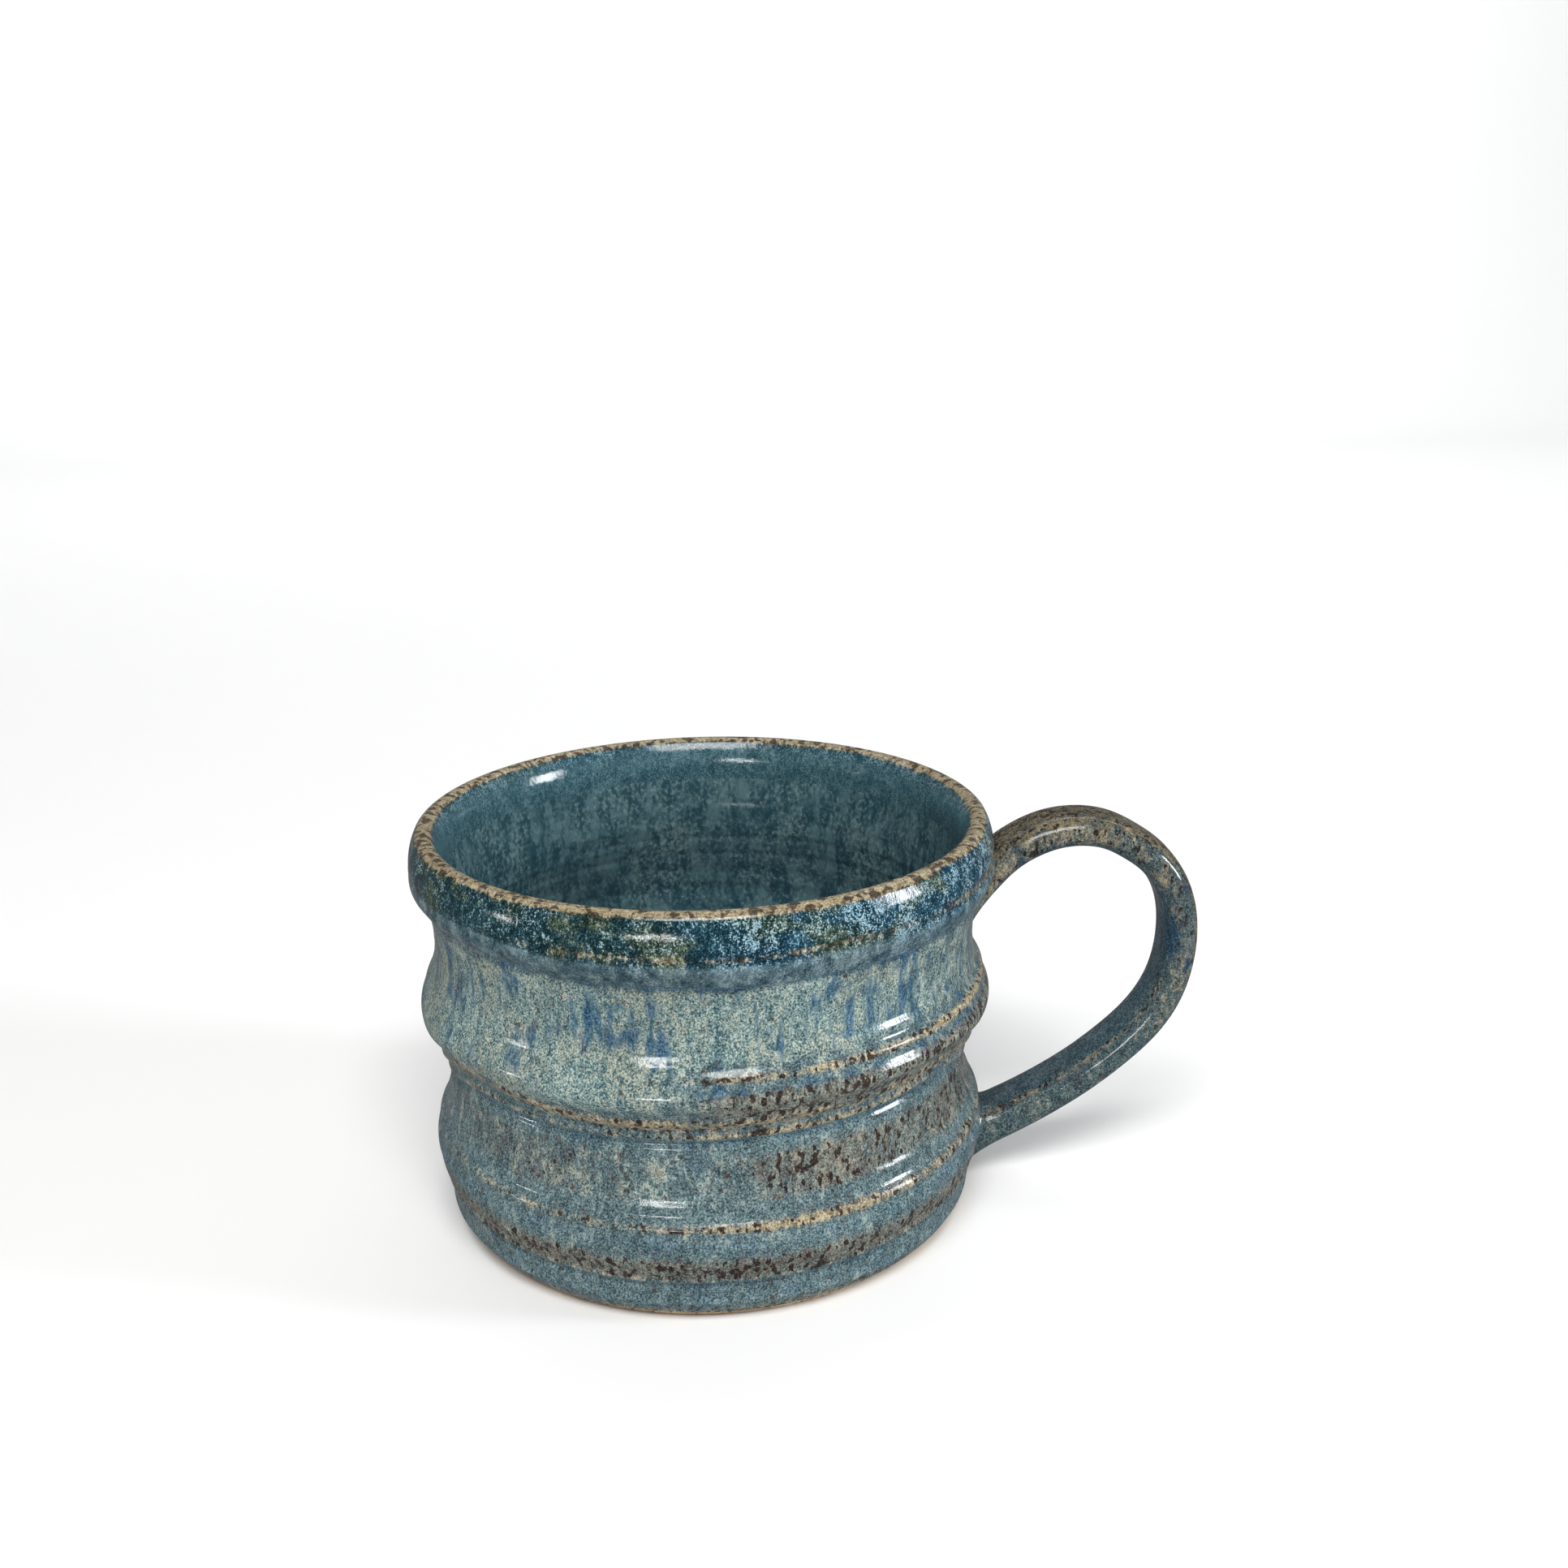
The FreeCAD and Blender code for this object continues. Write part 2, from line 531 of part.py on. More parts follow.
def wad(name, prefix, glazed):
    """Clay worked round the end of the strap: a flattened dome on the wall."""
    e = doc.addObject("Part::Ellipsoid", name)
    ge = " + Dims.glaze_thickness" if glazed else ""
    e.setExpression("Radius1", "Dims.%s_wad_half_height" % prefix + ge)
    e.setExpression("Radius2", "Dims.%s_wad_reach" % prefix + ge)
    e.setExpression("Radius3", "Dims.%s_wad_half_width" % prefix + ge)
    e.setExpression("Placement.Base.x", "Dims.%s_wad_x" % prefix)
    e.setExpression("Placement.Base.z", "Dims.%s_wad_z" % prefix)
    return e


def boolean(kind, name, label, base, tool):
    o = doc.addObject("Part::" + kind, name)
    o.Label = label
    o.Base = base
    o.Tool = tool
    return o


def multi(kind, name, label, shapes):
    o = doc.addObject("Part::" + kind, name)
    o.Label = label
    o.Shapes = shapes
    return o


upper_dome = wad("UpperDome", "upper", False)
lower_dome = wad("LowerDome", "lower", False)
upper_dome_coat = wad("UpperDomeCoat", "upper", True)
lower_dome_coat = wad("LowerDomeCoat", "lower", True)
doc.recompute()

handle_strap = boolean("Cut", "HandleStrap", "handle_strap", strap, filled)
strap_and_cup = boolean("Fuse", "StrapAndCup", "strap_and_cup", filled, strap)
upper_wad = boolean("Cut", "UpperWad", "upper_joint_wad", upper_dome, strap_and_cup)
lower_wad = boolean("Cut", "LowerWad", "lower_joint_pad", lower_dome, strap_and_cup)

# --------------------------------------------------------------- the glazes
coat = boolean("Cut", "Coat", "coat", glazed_form, thrown_cup)
handle_form = multi("MultiFuse", "HandleForm", "handle_form",
                    [strap_coat, upper_dome_coat, lower_dome_coat])
handle_clay = multi("MultiFuse", "HandleClay", "handle_clay",
                    [filled, strap, upper_dome, lower_dome])
# the part of the glazed handle that stands outside the cup's clay
handle_outside = boolean("Cut", "HandleOutside", "handle_outside", handle_form, filled)
handle_glaze = boolean("Cut", "HandleGlaze", "handle_glaze", handle_outside, handle_clay)

# bounds of each coat on the cup
outer_block = doc.addObject("Part::Cylinder", "OuterBlock")
outer_block.setExpression("Radius", "Dims.rim_belly_radius + 5")
outer_block.setExpression("Height", "Dims.rim_glaze_height")
liner_block = doc.addObject("Part::Cylinder", "LinerBlock")
liner_block.setExpression("Radius", "Dims.wall_split_radius")
liner_block.setExpression("Height", "Dims.liner_top_height")
outer_ring = boolean("Cut", "OuterRing", "outer_ring", outer_block, liner_block)
coat_less_handle = boolean("Cut", "CoatLessHandle", "coat_less_handle", coat, handle_outside)
outer_glaze = boolean("Common", "OuterGlaze", "outer_glaze", coat_less_handle, outer_ring)
liner_glaze = boolean("Common", "LinerGlaze", "liner_glaze", coat, liner_block)
both_blocks = boolean("Fuse", "BothBlocks", "both_blocks", outer_ring, liner_block)
rim_glaze = boolean("Cut", "RimGlaze", "rim_glaze", coat_less_handle, both_blocks)
doc.recompute()

NODES = {
    "thrown_cup": thrown_cup,
    "handle_strap": handle_strap,
    "upper_joint_wad": upper_wad,
    "lower_joint_pad": lower_wad,
    "outer_glaze": outer_glaze,
    "liner_glaze": liner_glaze,
    "rim_glaze": rim_glaze,
    "handle_glaze": handle_glaze,
}

# -------------------------------------------------------------- check, write
bad = []
for obj in doc.Objects:
    if any(word in ("Invalid", "Error") for word in obj.State):
        bad.append((obj.Name, obj.State))
for node, obj in NODES.items():
    shape = obj.Shape
    if shape.isNull() or not shape.isValid():
        bad.append((node, "null or not valid"))
        continue
    print(node, "solids", len(shape.Solids), "faces", len(shape.Faces),
          "volume cm3 %.3f" % (shape.Volume / 1000), shape.BoundBox)
if bad:
    raise SystemExit("failed: %r" % bad)
for node, obj in NODES.items():
    obj.Shape.exportStep("parts/%s.step" % node)
print("written", len(NODES))
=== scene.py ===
import math

import bpy
import numpy as np
from mathutils import Matrix, Vector


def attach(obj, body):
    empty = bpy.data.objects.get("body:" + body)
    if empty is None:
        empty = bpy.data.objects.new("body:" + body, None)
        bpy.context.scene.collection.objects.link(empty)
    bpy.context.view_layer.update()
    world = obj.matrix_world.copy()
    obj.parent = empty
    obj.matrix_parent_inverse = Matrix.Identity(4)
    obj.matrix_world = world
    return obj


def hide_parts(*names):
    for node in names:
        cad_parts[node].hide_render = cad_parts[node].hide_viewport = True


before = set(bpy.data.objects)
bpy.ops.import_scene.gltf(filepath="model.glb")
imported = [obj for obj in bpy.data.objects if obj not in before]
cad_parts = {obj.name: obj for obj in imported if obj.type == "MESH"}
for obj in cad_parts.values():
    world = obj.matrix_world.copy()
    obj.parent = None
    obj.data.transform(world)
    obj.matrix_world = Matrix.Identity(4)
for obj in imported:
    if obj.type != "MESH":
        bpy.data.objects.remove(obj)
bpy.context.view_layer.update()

MM = 0.001
scene = bpy.context.scene
TAU = 2 * math.pi

# ------------------------------------------------------------------ camera
f_px, frame_px = 2101.65, 1932.0
pitch, yaw, roll = math.radians(17.169), math.radians(2.889), math.radians(-0.8137)
fwd = Vector((math.sin(yaw) * math.cos(pitch), math.cos(yaw) * math.cos(pitch), -math.sin(pitch)))
right = Vector((math.cos(yaw), -math.sin(yaw), 0.0))
up = right.cross(fwd)
r2 = math.cos(roll) * right + math.sin(roll) * up
u2 = -math.sin(roll) * right + math.cos(roll) * up
cam_data = bpy.data.cameras.new("camera")
cam_data.sensor_width = 36.0
cam_data.lens = 36.0 * f_px / frame_px
cam_data.clip_start, cam_data.clip_end = 0.01, 20.0
cam = bpy.data.objects.new("camera", cam_data)
scene.collection.objects.link(cam)
rot = Matrix((
    (r2.x, u2.x, -fwd.x, 0.0),
    (r2.y, u2.y, -fwd.y, 0.0),
    (r2.z, u2.z, -fwd.z, 174.14 * MM),
    (0, 0, 0, 1),
))
rot[0][3], rot[1][3] = 0.0, -301.36 * MM
cam.matrix_world = rot
scene.camera = cam


# ------------------------------------------------------------- small tools
def smooth(a, b, x):
    t = np.clip((x - a) / (b - a), 0.0, 1.0)
    return t * t * (3 - 2 * t)


def wrap(a):
    return (a + math.pi) % TAU - math.pi


def bump(x, centre, width):
    return np.exp(-(((x - centre) / width) ** 2))


def cubic(xs, ys, x):
    """Natural cubic spline through (xs, ys), evaluated at x."""
    xs, ys, x = np.asarray(xs, float), np.asarray(ys, float), np.asarray(x, float)
    n = len(xs)
    h = np.diff(xs)
    A = np.zeros((n, n))
    b = np.zeros(n)
    A[0, 0] = A[-1, -1] = 1
    for i in range(1, n - 1):
        A[i, i - 1], A[i, i], A[i, i + 1] = h[i - 1], 2 * (h[i - 1] + h[i]), h[i]
        b[i] = 6 * ((ys[i + 1] - ys[i]) / h[i] - (ys[i] - ys[i - 1]) / h[i - 1])
    m = np.linalg.solve(A, b)
    i = np.clip(np.searchsorted(xs, x) - 1, 0, n - 2)
    t0, t1, hh = x - xs[i], xs[i + 1] - x, h[i]
    return (m[i] * t1 ** 3 + m[i + 1] * t0 ** 3) / (6 * hh) + (ys[i] / hh - m[i] * hh / 6) * t1 + (ys[i + 1] / hh - m[i + 1] * hh / 6) * t0


def rings(seed, n, spread):
    """n seeded (frequency, phase, weight) triples of a smooth closed wobble."""
    rng = np.random.default_rng(seed)
    k = np.arange(1, n + 1)
    return k, rng.uniform(0, TAU, n), rng.uniform(0.5, 1.0, n) / k ** spread


def wobble(phi, seed, n=9, spread=0.6):
    k, ph, w = rings(seed, n, spread)
    v = sum(wi * np.sin(ki * phi + pi) for ki, pi, wi in zip(k, ph, w))
    return v / np.sqrt((w ** 2).sum() / 2) * 0.5


def make_mesh(name, verts, faces, attrs=None):
    me = bpy.data.meshes.new(name)
    verts = np.asarray(verts, np.float32)
    faces = [np.asarray(x, np.int32) for x in faces]
    sizes = np.concatenate([np.full(len(x), x.shape[1], np.int32) for x in faces])
    loops = np.concatenate([x.ravel() for x in faces])
    me.vertices.add(len(verts))
    me.vertices.foreach_set("co", (verts * MM).ravel())
    me.loops.add(len(loops))
    me.loops.foreach_set("vertex_index", loops)
    me.polygons.add(len(sizes))
    starts = np.concatenate([[0], np.cumsum(sizes)[:-1]]).astype(np.int32)
    me.polygons.foreach_set("loop_start", starts)
    me.update(calc_edges=True)
    me.validate()
    me.polygons.foreach_set("use_smooth", np.ones(len(me.polygons), bool))
    for key, val in (attrs or {}).items():
        a = me.attributes.new(key, "FLOAT", "POINT")
        a.data.foreach_set("value", np.asarray(val, np.float32).ravel())
    ob = bpy.data.objects.new(name, me)
    scene.collection.objects.link(ob)
    return ob


def torus_faces(m, n):
    """Faces of an m by n grid closed both ways."""
    i, j = np.meshgrid(np.arange(m), np.arange(n), indexing="ij")
    i2, j2 = (i + 1) % m, (j + 1) % n
    return np.stack([i * n + j, i * n + j2, i2 * n + j2, i2 * n + j], -1).reshape(-1, 4)


def strip_faces(m, n):
    """Faces of an m by n grid closed along n only."""
    i, j = np.meshgrid(np.arange(m - 1), np.arange(n), indexing="ij")
    j2 = (j + 1) % n
    return np.stack([i * n + j, i * n + j2, (i + 1) * n + j2, (i + 1) * n + j], -1).reshape(-1, 4)


# --------------------------------------------- the cup's finished outside
ZK = np.array([0, 2.86, 5.73, 8.59, 11.46, 14.32, 17.19, 20.05, 22.92, 25.78, 28.65, 31.51, 34.38, 37.24,
               40.11, 42.97, 45.84, 48.7, 51.57, 54.43, 57.3, 60.16, 63.03, 65.89, 68.0, 70.0])
RL = np.array([46.95, 49.42, 50.25, 50.75, 51.45, 52.2, 52.38, 51.4, 50.25, 49.5, 49.15, 49.35, 50.2, 51.55,
               53.05, 53.62, 52.9, 51.7, 50.75, 50.35, 50.35, 50.6, 51.4, 52.75, 53.7, 54.0])
RR = np.array([46.85, 49.3, 49.9, 50.6, 51.55, 52.4, 52.4, 51.55, 50.4, 49.5, 49.05, 49.25, 50.2, 51.65,
               53.1, 53.5, 52.4, 51.05, 50.4, 50.25, 50.45, 51.0, 52.0, 53.1, 53.7, 53.85])
H = 76.2
FRONT = -math.pi / 2          # the side of the cup that faces the camera
SPREAD = lambda phi: np.cos(phi - FRONT)


def crease_z(phi):
    """Height of the deep crease under the middle belly: it climbs where the hand lifted."""
    a = np.abs(wrap(phi - FRONT))
    lift = 1 - smooth(math.radians(50), math.radians(86), a)
    back = 0.35 * (1 - smooth(math.radians(20), math.radians(80), np.pi - a))
    return 29.6 + 4.75 * lift + back + 0.25 * wobble(phi, 11)


def height_warp(z, phi):
    """Where on the common profile a point at this height and angle lies."""
    lift = crease_z(phi) - 29.6
    up_, dn = 13.5, 11.0
    k = np.where(z >= crease_z(phi), 1 - smooth(0.0, up_, z - crease_z(phi)), 1 - smooth(0.0, dn, crease_z(phi) - z))
    return z - lift * k


def tan1_z(phi):       # lower tan ridge of the middle belly
    return crease_z(phi) + 4.2 + 0.45 * wobble(phi, 12, 6) + 2.0 * bump(wrap(phi - math.radians(-142)), 0, 0.35)


def tan2_z(phi):       # upper tan ridge of the middle belly
    return 47.1 + 0.25 * wobble(phi, 13, 6) - 0.2 * np.sin(phi)


def tan2_on(phi):
    a = wrap(phi - math.radians(-100))
    return np.where(a > 0, smooth(0.0, 0.25, a), 0.12 + 0.5 * smooth(math.radians(60), math.radians(150), -a))


def tan3_z(phi):
    return 50.9 + 0.35 * wobble(phi, 14, 7)


def tan3_on(phi):
    a = wrap(phi - math.radians(-55))
    return bump(a, 0, 0.55) + 0.7 * bump(wrap(phi - math.radians(110)), 0, 0.7)


def tanb_z(phi):       # tan line on the shoulder of the low belly
    return 19.5 + 0.4 * smooth(math.radians(20), math.radians(70), np.abs(wrap(phi - FRONT))) + 0.3 * wobble(phi, 15, 7)


def foot_crease_z(phi):
    return 8.3 + 0.8 * smooth(math.radians(20), math.radians(60), np.abs(wrap(phi - FRONT))) + 0.15 * wobble(phi, 16, 5)


def rim_step_z(phi):   # lower edge of the second dip round the rim
    return 63.6 + 0.9 * smooth(math.radians(15), math.radians(60), -wrap(phi - FRONT)) + 0.35 * wobble(phi, 17, 12, 0.4)


def glaze_line_z(phi):
    return 0.95 + 0.4 * wobble(phi, 18, 14, 0.35) + 0.7 * smooth(0.35, 1.2, wrap(phi - FRONT))


def base_radius(z, phi):
    zz = height_warp(z, phi)
    k = (1 + np.cos(phi)) / 2
    rl, rr = cubic(ZK, RL, zz), cubic(ZK, RR, zz)
    r = rl * (1 - k) + rr * k
    return r


def ridge_relief(z, phi):
    """Throwing ridges and creases, as a height on the base surface."""
    d = np.zeros(np.broadcast(z, phi).shape)
    c = crease_z(phi)
    deep = 0.55 + 0.45 * (1 - smooth(math.radians(40), math.radians(100), np.abs(wrap(phi - FRONT)))) 
    d += -0.62 * deep * bump(z, c - 0.1, 0.55) + 0.3 * deep * bump(z, c + 1.35, 0.75) - 0.3 * deep * bump(z, c + 2.5, 0.6)
    d += 0.42 * bump(z, tan1_z(phi), 0.95)
    d += -0.3 * bump(z, tan1_z(phi) + 2.4, 1.3)
    d += tan2_on(phi) * (0.46 * bump(z, tan2_z(phi), 0.9) - 0.34 * bump(z, tan2_z(phi) - 2.1, 1.2) - 0.2 * bump(z, tan2_z(phi) + 1.9, 0.9))
    d += tan3_on(phi) * (0.34 * bump(z, tan3_z(phi) - 0.9, 0.8) - 0.22 * bump(z, tan3_z(phi) + 0.6, 0.6))
    d += 0.34 * bump(z, tanb_z(phi), 0.85) - 0.22 * bump(z, tanb_z(phi) - 1.9, 0.9) - 0.12 * bump(z, tanb_z(phi) + 1.8, 0.9)
    d += 0.16 * bump(z, tanb_z(phi) + 3.6, 1.0)
    fc = foot_crease_z(phi)
    d += -0.55 * bump(z, fc - 0.25, 0.5) + 0.22 * bump(z, fc + 0.8, 0.6)
    d += 0.18 * bump(z, 12.6 + 0.3 * wobble(phi, 21, 5), 0.9) - 0.1 * bump(z, 14.4 + 0.3 * wobble(phi, 22, 5), 0.7)
    # faint spiral of finger marks
    d += 0.018 * np.sin((z - 3.2 * phi / TAU) * TAU / 3.2) * smooth(9, 12, z)
    d += 0.01 * np.sin((z + 0.6 * np.sin(2 * phi)) * TAU / 1.7 + 2 * np.sin(phi)) * smooth(4, 9, z)
    d += 0.12 * wobble(phi, 23, 5) * smooth(6, 20, z)
    # the roll of glaze just above the bare bevel
    d += 0.36 * bump(z, 4.2 + 0.15 * wobble(phi, 26, 6), 0.65)
    # the groove that undercuts the rim's second coat
    d += -0.4 * bump(z, rim_step_z(phi) - 0.7, 0.7)
    return d


def break_mask(z, phi):
    """How thin the glaze is: 1 where it breaks to the clay's tan, 0 where it lies thick."""
    m = np.zeros(np.broadcast(z, phi).shape)
    left = smooth(math.radians(-175), math.radians(-100), phi) * (1 - smooth(math.radians(60), math.radians(120), phi))
    s1 = 0.86 + 0.2 * wobble(phi, 31, 8) + 0.1 * bump(wrap(phi - math.radians(-115)), 0, 0.4)
    m = np.maximum(m, s1 * bump(z, tan1_z(phi) - 0.5, 1.9))
    s1b = 0.42 + 0.5 * bump(wrap(phi - math.radians(-62)), 0, 0.5) + 0.2 * wobble(phi, 37, 6)
    m = np.maximum(m, np.clip(s1b, 0, 1) * bump(z, crease_z(phi) + 1.4, 0.7))
    m = np.maximum(m, np.clip(tan2_on(phi), 0, 1) * (0.85 + 0.25 * wobble(phi, 32, 8)) * bump(z, tan2_z(phi), 0.95))
    m = np.maximum(m, np.clip(tan3_on(phi), 0, 1) * 0.35 * bump(z, tan3_z(phi) - 0.8, 0.6))
    sb = 0.42 + 0.25 * wobble(phi, 33, 9) + 0.4 * bump(wrap(phi - math.radians(-60)), 0, 0.42) + 0.2 * bump(wrap(phi - math.radians(-135)), 0, 0.4)
    m = np.maximum(m, sb * bump(z, tanb_z(phi), 0.95))
    m = np.maximum(m, 0.5 * bump(z, foot_crease_z(phi) + 0.95, 0.55))
    m = np.maximum(m, 1.0 * (1 - smooth(0.0, 2.1, z - glaze_line_z(phi))))
    return np.clip(m, 0, 1)


def cream_and_side_shade(z, phi):
    """Where pale crystals float thickly in the glaze; thinned on the two sides as painted shade."""
    leftish = 1 - smooth(math.radians(-108), math.radians(-88), phi) * (1 - smooth(math.radians(90), math.radians(150), phi))
    neck = smooth(47.0, 50.5, z) * (1 - smooth(61.0, 64.0, z)) * (0.82 + 0.18 * leftish)
    curtain = smooth(39.5, 42.5, z) * (1 - smooth(61.0, 64.0, z)) * leftish
    band = 0.7 * smooth(40.0, 41.6, z) * (1 - smooth(44.6, 46.4, z)) * np.clip(tan2_on(phi), 0, 1)
    waist = 0.28 * smooth(21.5, 24, z) * (1 - smooth(31, 34, z))
    belly = 0.35 * bump(z, 44.0, 4.0)
    low = 0.2 * bump(z, 16.5, 2.0)
    # painted shade: less pale cream on the two sides seen from the front, so the body darkens towards its outlines;
    # full again at the back
    side = 1 - 0.3 * smooth(math.radians(28), math.radians(60), np.abs(wrap(phi - FRONT))) * (1 - smooth(math.radians(95), math.radians(130), np.abs(wrap(phi - FRONT))))
    return np.clip(np.maximum.reduce([neck, curtain, band, waist, belly, low]) * side + 0.08 * wobble(phi, 51, 8), 0, 1)


def deep_and_crease_shade(z, phi):
    """Where the glaze lies thick and blue, plus a painted shade line in the groove under the rim's second coat."""
    a = np.maximum.reduce([
        0.62 * bump(z, tanb_z(phi) - 2.9, 1.5),
        0.75 * np.clip(tan2_on(phi), 0, 1) * bump(z, tan2_z(phi) - 2.3, 0.9),
        0.7 * bump(z, crease_z(phi) - 0.2, 0.9),
        0.6 * bump(z, tan1_z(phi) - 1.9, 0.9),
        0.6 * bump(z, foot_crease_z(phi) - 0.4, 0.8),
        # painted shade: a dark line in the groove under the rim's second coat, partly thick glaze, partly the shade of
        # the crease
        1.0 * bump(z, rim_step_z(phi) - 0.3, 0.6),
        0.35 * smooth(48.5, 52, z) * (1 - smooth(60, 64, z)),
        0.45 * bump(z, 5.4, 2.0),
    ])
    return np.clip(a + 0.1 * wobble(phi, 52, 8), 0, 1)


def brown_field(z, phi):
    """Where iron has come through in blotches and runs."""
    rightish = smooth(math.radians(-100), math.radians(-70), phi) * (1 - smooth(math.radians(30), math.radians(90), phi))
    a = np.maximum.reduce([
        (0.4 + 0.36 * rightish + 0.2 * bump(wrap(phi - math.radians(-125)), 0, 0.35)) * smooth(21.5, 24.5, z) * (1 - smooth(30.5, 34, z)),
        1.0 * smooth(8.6, 10.0, z) * (1 - smooth(12.6, 16.0, z)),
        0.75 * bump(z, tanb_z(phi) + 0.2, 1.6) * (0.55 + 0.45 * rightish),
        0.95 * np.clip(tan2_on(phi), 0, 1) * smooth(38.6, 40.4, z) * (1 - smooth(44.0, 46.4, z)),
        0.9 * bump(z, tan1_z(phi) + 0.4, 1.7) * (0.75 + 0.25 * rightish),
        0.25 * smooth(51, 54, z) * (1 - smooth(59, 62, z)) * (1 - rightish),
        0.6 * bump(z, glaze_line_z(phi) + 1.9, 1.3),
    ])
    return np.clip(a + 0.12 * wobble(phi, 53, 9), 0, 1)


# the common profile in (r, z), from the foot up the outside, over the lip, down the inside to the floor's middle
def arc_points(cx, cz, r, a0, a1, n):
    a = np.radians(np.linspace(a0, a1, n))
    return np.stack([cx + r * np.cos(a), cz + r * np.sin(a)], 1)


def s_wave(p, q, n):
    t = np.linspace(0, 1, n)
    return np.stack([p[0] + (q[0] - p[0]) * (t * t * (3 - 2 * t)), p[1] + (q[1] - p[1]) * t], 1)


LIP_C = (51.0, H - 2.0)
a_out = math.degrees(math.atan2(LIP_C[1] - 70.0, LIP_C[0] - (54.0 - 11.3)))
a_in = math.degrees(math.atan2(LIP_C[1] - 70.0, LIP_C[0] - (47.6 + 9.0)))
lip = np.concatenate([
    arc_points(54.0 - 11.3, 70.0, 11.3, 0, a_out, 16)[:-1],
    arc_points(LIP_C[0], LIP_C[1], 2.0, a_out, a_in, 26)[:-1],
    arc_points(47.6 + 9.0, 70.0, 9.0, a_in, 180.0, 16),
])
inside = np.concatenate([
    s_wave((47.6, 70.0), (46.2, 57.0), 30)[1:],
    s_wave((46.2, 57.0), (47.2, 43.5), 30)[1:],
    s_wave((47.2, 43.5), (44.7, 29.5), 30)[1:],
    s_wave((44.7, 29.5), (45.4, 20.5), 22)[1:],
    arc_points(32.9, 20.5, 12.5, 0, -90, 44)[1:],
    np.stack([np.linspace(32.9, 0.6, 56)[1:], np.full(55, 8.0)], 1),
])


def outer_sheet(zrows, phi, off=0.0):
    """Outside surface for rows of heights (m, n) at angles phi (n,)."""
    P = np.broadcast_to(phi, zrows.shape)
    r = base_radius(zrows, P) + ridge_relief(zrows, P) + off
    return r


def to_xyz(r, z, phi):
    return np.stack([r * np.cos(phi), r * np.sin(phi), z], -1)


def lip_profile(phi, off):
    """The lip and the inside as (m, n) arrays of r and z, set back by off along the normal."""
    prof = np.concatenate([lip, inside])
    t = np.gradient(prof, axis=0)
    t /= np.linalg.norm(t, axis=1)[:, None]
    nrm = np.stack([t[:, 1], -t[:, 0]], 1)
    p = prof + nrm * off
    k = (1 + np.cos(phi)) / 2
    m = len(prof)
    R = np.repeat(p[:, :1], len(phi), 1)
    Z = np.repeat(p[:, 1:], len(phi), 1)
    s = np.arange(m)[:, None]
    # right side of the rim is a hair smaller, and the lip is not dead level
    near = np.exp(-np.maximum(s - 30, 0) / 40.0)
    R = R - 0.15 * k[None, :] * near
    Z = Z + near * (0.1 * wobble(phi, 24, 4))[None, :] * smooth(0, 12, s)
    inner = smooth(60, 90, s) * smooth(9.5, 16.0, Z)
    R = R + inner * (0.08 * np.sin((Z - 4.1 * phi[None, :] / TAU) * TAU / 4.1) + 0.05 * np.sin(Z * TAU / 1.9 + phi[None, :]))
    # a shallow finger spiral in the floor
    floor = (Z < 9.0) & (R < 34)
    Z = Z + floor * 0.22 * np.sin((R - 6.0 * phi[None, :] / TAU) * TAU / 6.0) * smooth(2, 8, R) * (1 - smooth(28, 34, R))
    return R, Z


N = 512
phi = np.linspace(-math.pi, math.pi, N, endpoint=False)
G = 0.45


def shell(name, outer, inner, attrs):
    """A closed skin: outer rows (visible), then inner rows back again."""
    rows = np.concatenate([outer, inner[::-1]], 0)
    m, n = rows.shape[:2]
    return make_mesh(name, rows.reshape(-1, 3), [torus_faces(m, n)], attrs)


def pad_attr(a, extra):
    return np.concatenate([a, np.repeat(a[-1:], extra, 0)], 0)


# --------------------------------------------------------------- outer glaze
zs = np.linspace(0, 1, 150)[:, None]
z0, z1 = glaze_line_z(phi)[None, :], (rim_step_z(phi) + 0.8)[None, :]
Zr = z0 + (z1 - z0) * zs
P2 = np.broadcast_to(phi, Zr.shape)
Ro = outer_sheet(Zr, phi)
# the glaze stops in a thick rounded edge above the bare bevel
edge = np.clip((Zr - z0) / 0.9, 0, 1)
Ro = Ro - 0.42 * (1 - np.sqrt(1 - (1 - edge) ** 2))
outer_pts = to_xyz(Ro, Zr, P2)
zi = z0 + (z1 - z0) * np.linspace(0, 1, 24)[:, None]
Pi = np.broadcast_to(phi, zi.shape)
Ri = outer_sheet(zi, phi) - 0.75
inner_pts = to_xyz(Ri, zi, Pi)
bm = break_mask(Zr, P2)
glaze_out = shell("glaze_outer", outer_pts, inner_pts,
                  {"thin": pad_attr(bm, 24), "cream": pad_attr(cream_and_side_shade(Zr, P2), 24),
                   "deep": pad_attr(deep_and_crease_shade(Zr, P2), 24), "brown": pad_attr(brown_field(Zr, P2), 24)})

# ----------------------------------------------------------------- rim glaze
prof_R, prof_Z = lip_profile(phi, 0.0)
zs = np.linspace(0, 1, 22)[:, None]
z0 = rim_step_z(phi)[None, :]
Zr = z0 + (69.7 - z0) * zs
P2 = np.broadcast_to(phi, Zr.shape)
step = 0.5 + 0.12 * wobble(phi, 25, 10)[None, :]
lift = step * np.sqrt(np.clip(1 - (1 - np.clip((Zr - z0) / 0.9, 0, 1)) ** 2, 0, 1)) + 0.22 * bump(Zr, z0 + 2.6, 1.5) - 0.34 * bump(Zr, z0 + 4.9 + 0.2 * wobble(phi, 27, 7)[None, :], 0.7)
lift = lift * (1 - smooth(66.5, 69.9, Zr)) - 0.12 * (1 - np.clip((Zr - z0) / 0.25, 0, 1))
Rr = outer_sheet(Zr, phi) + lift
n_lip = 66
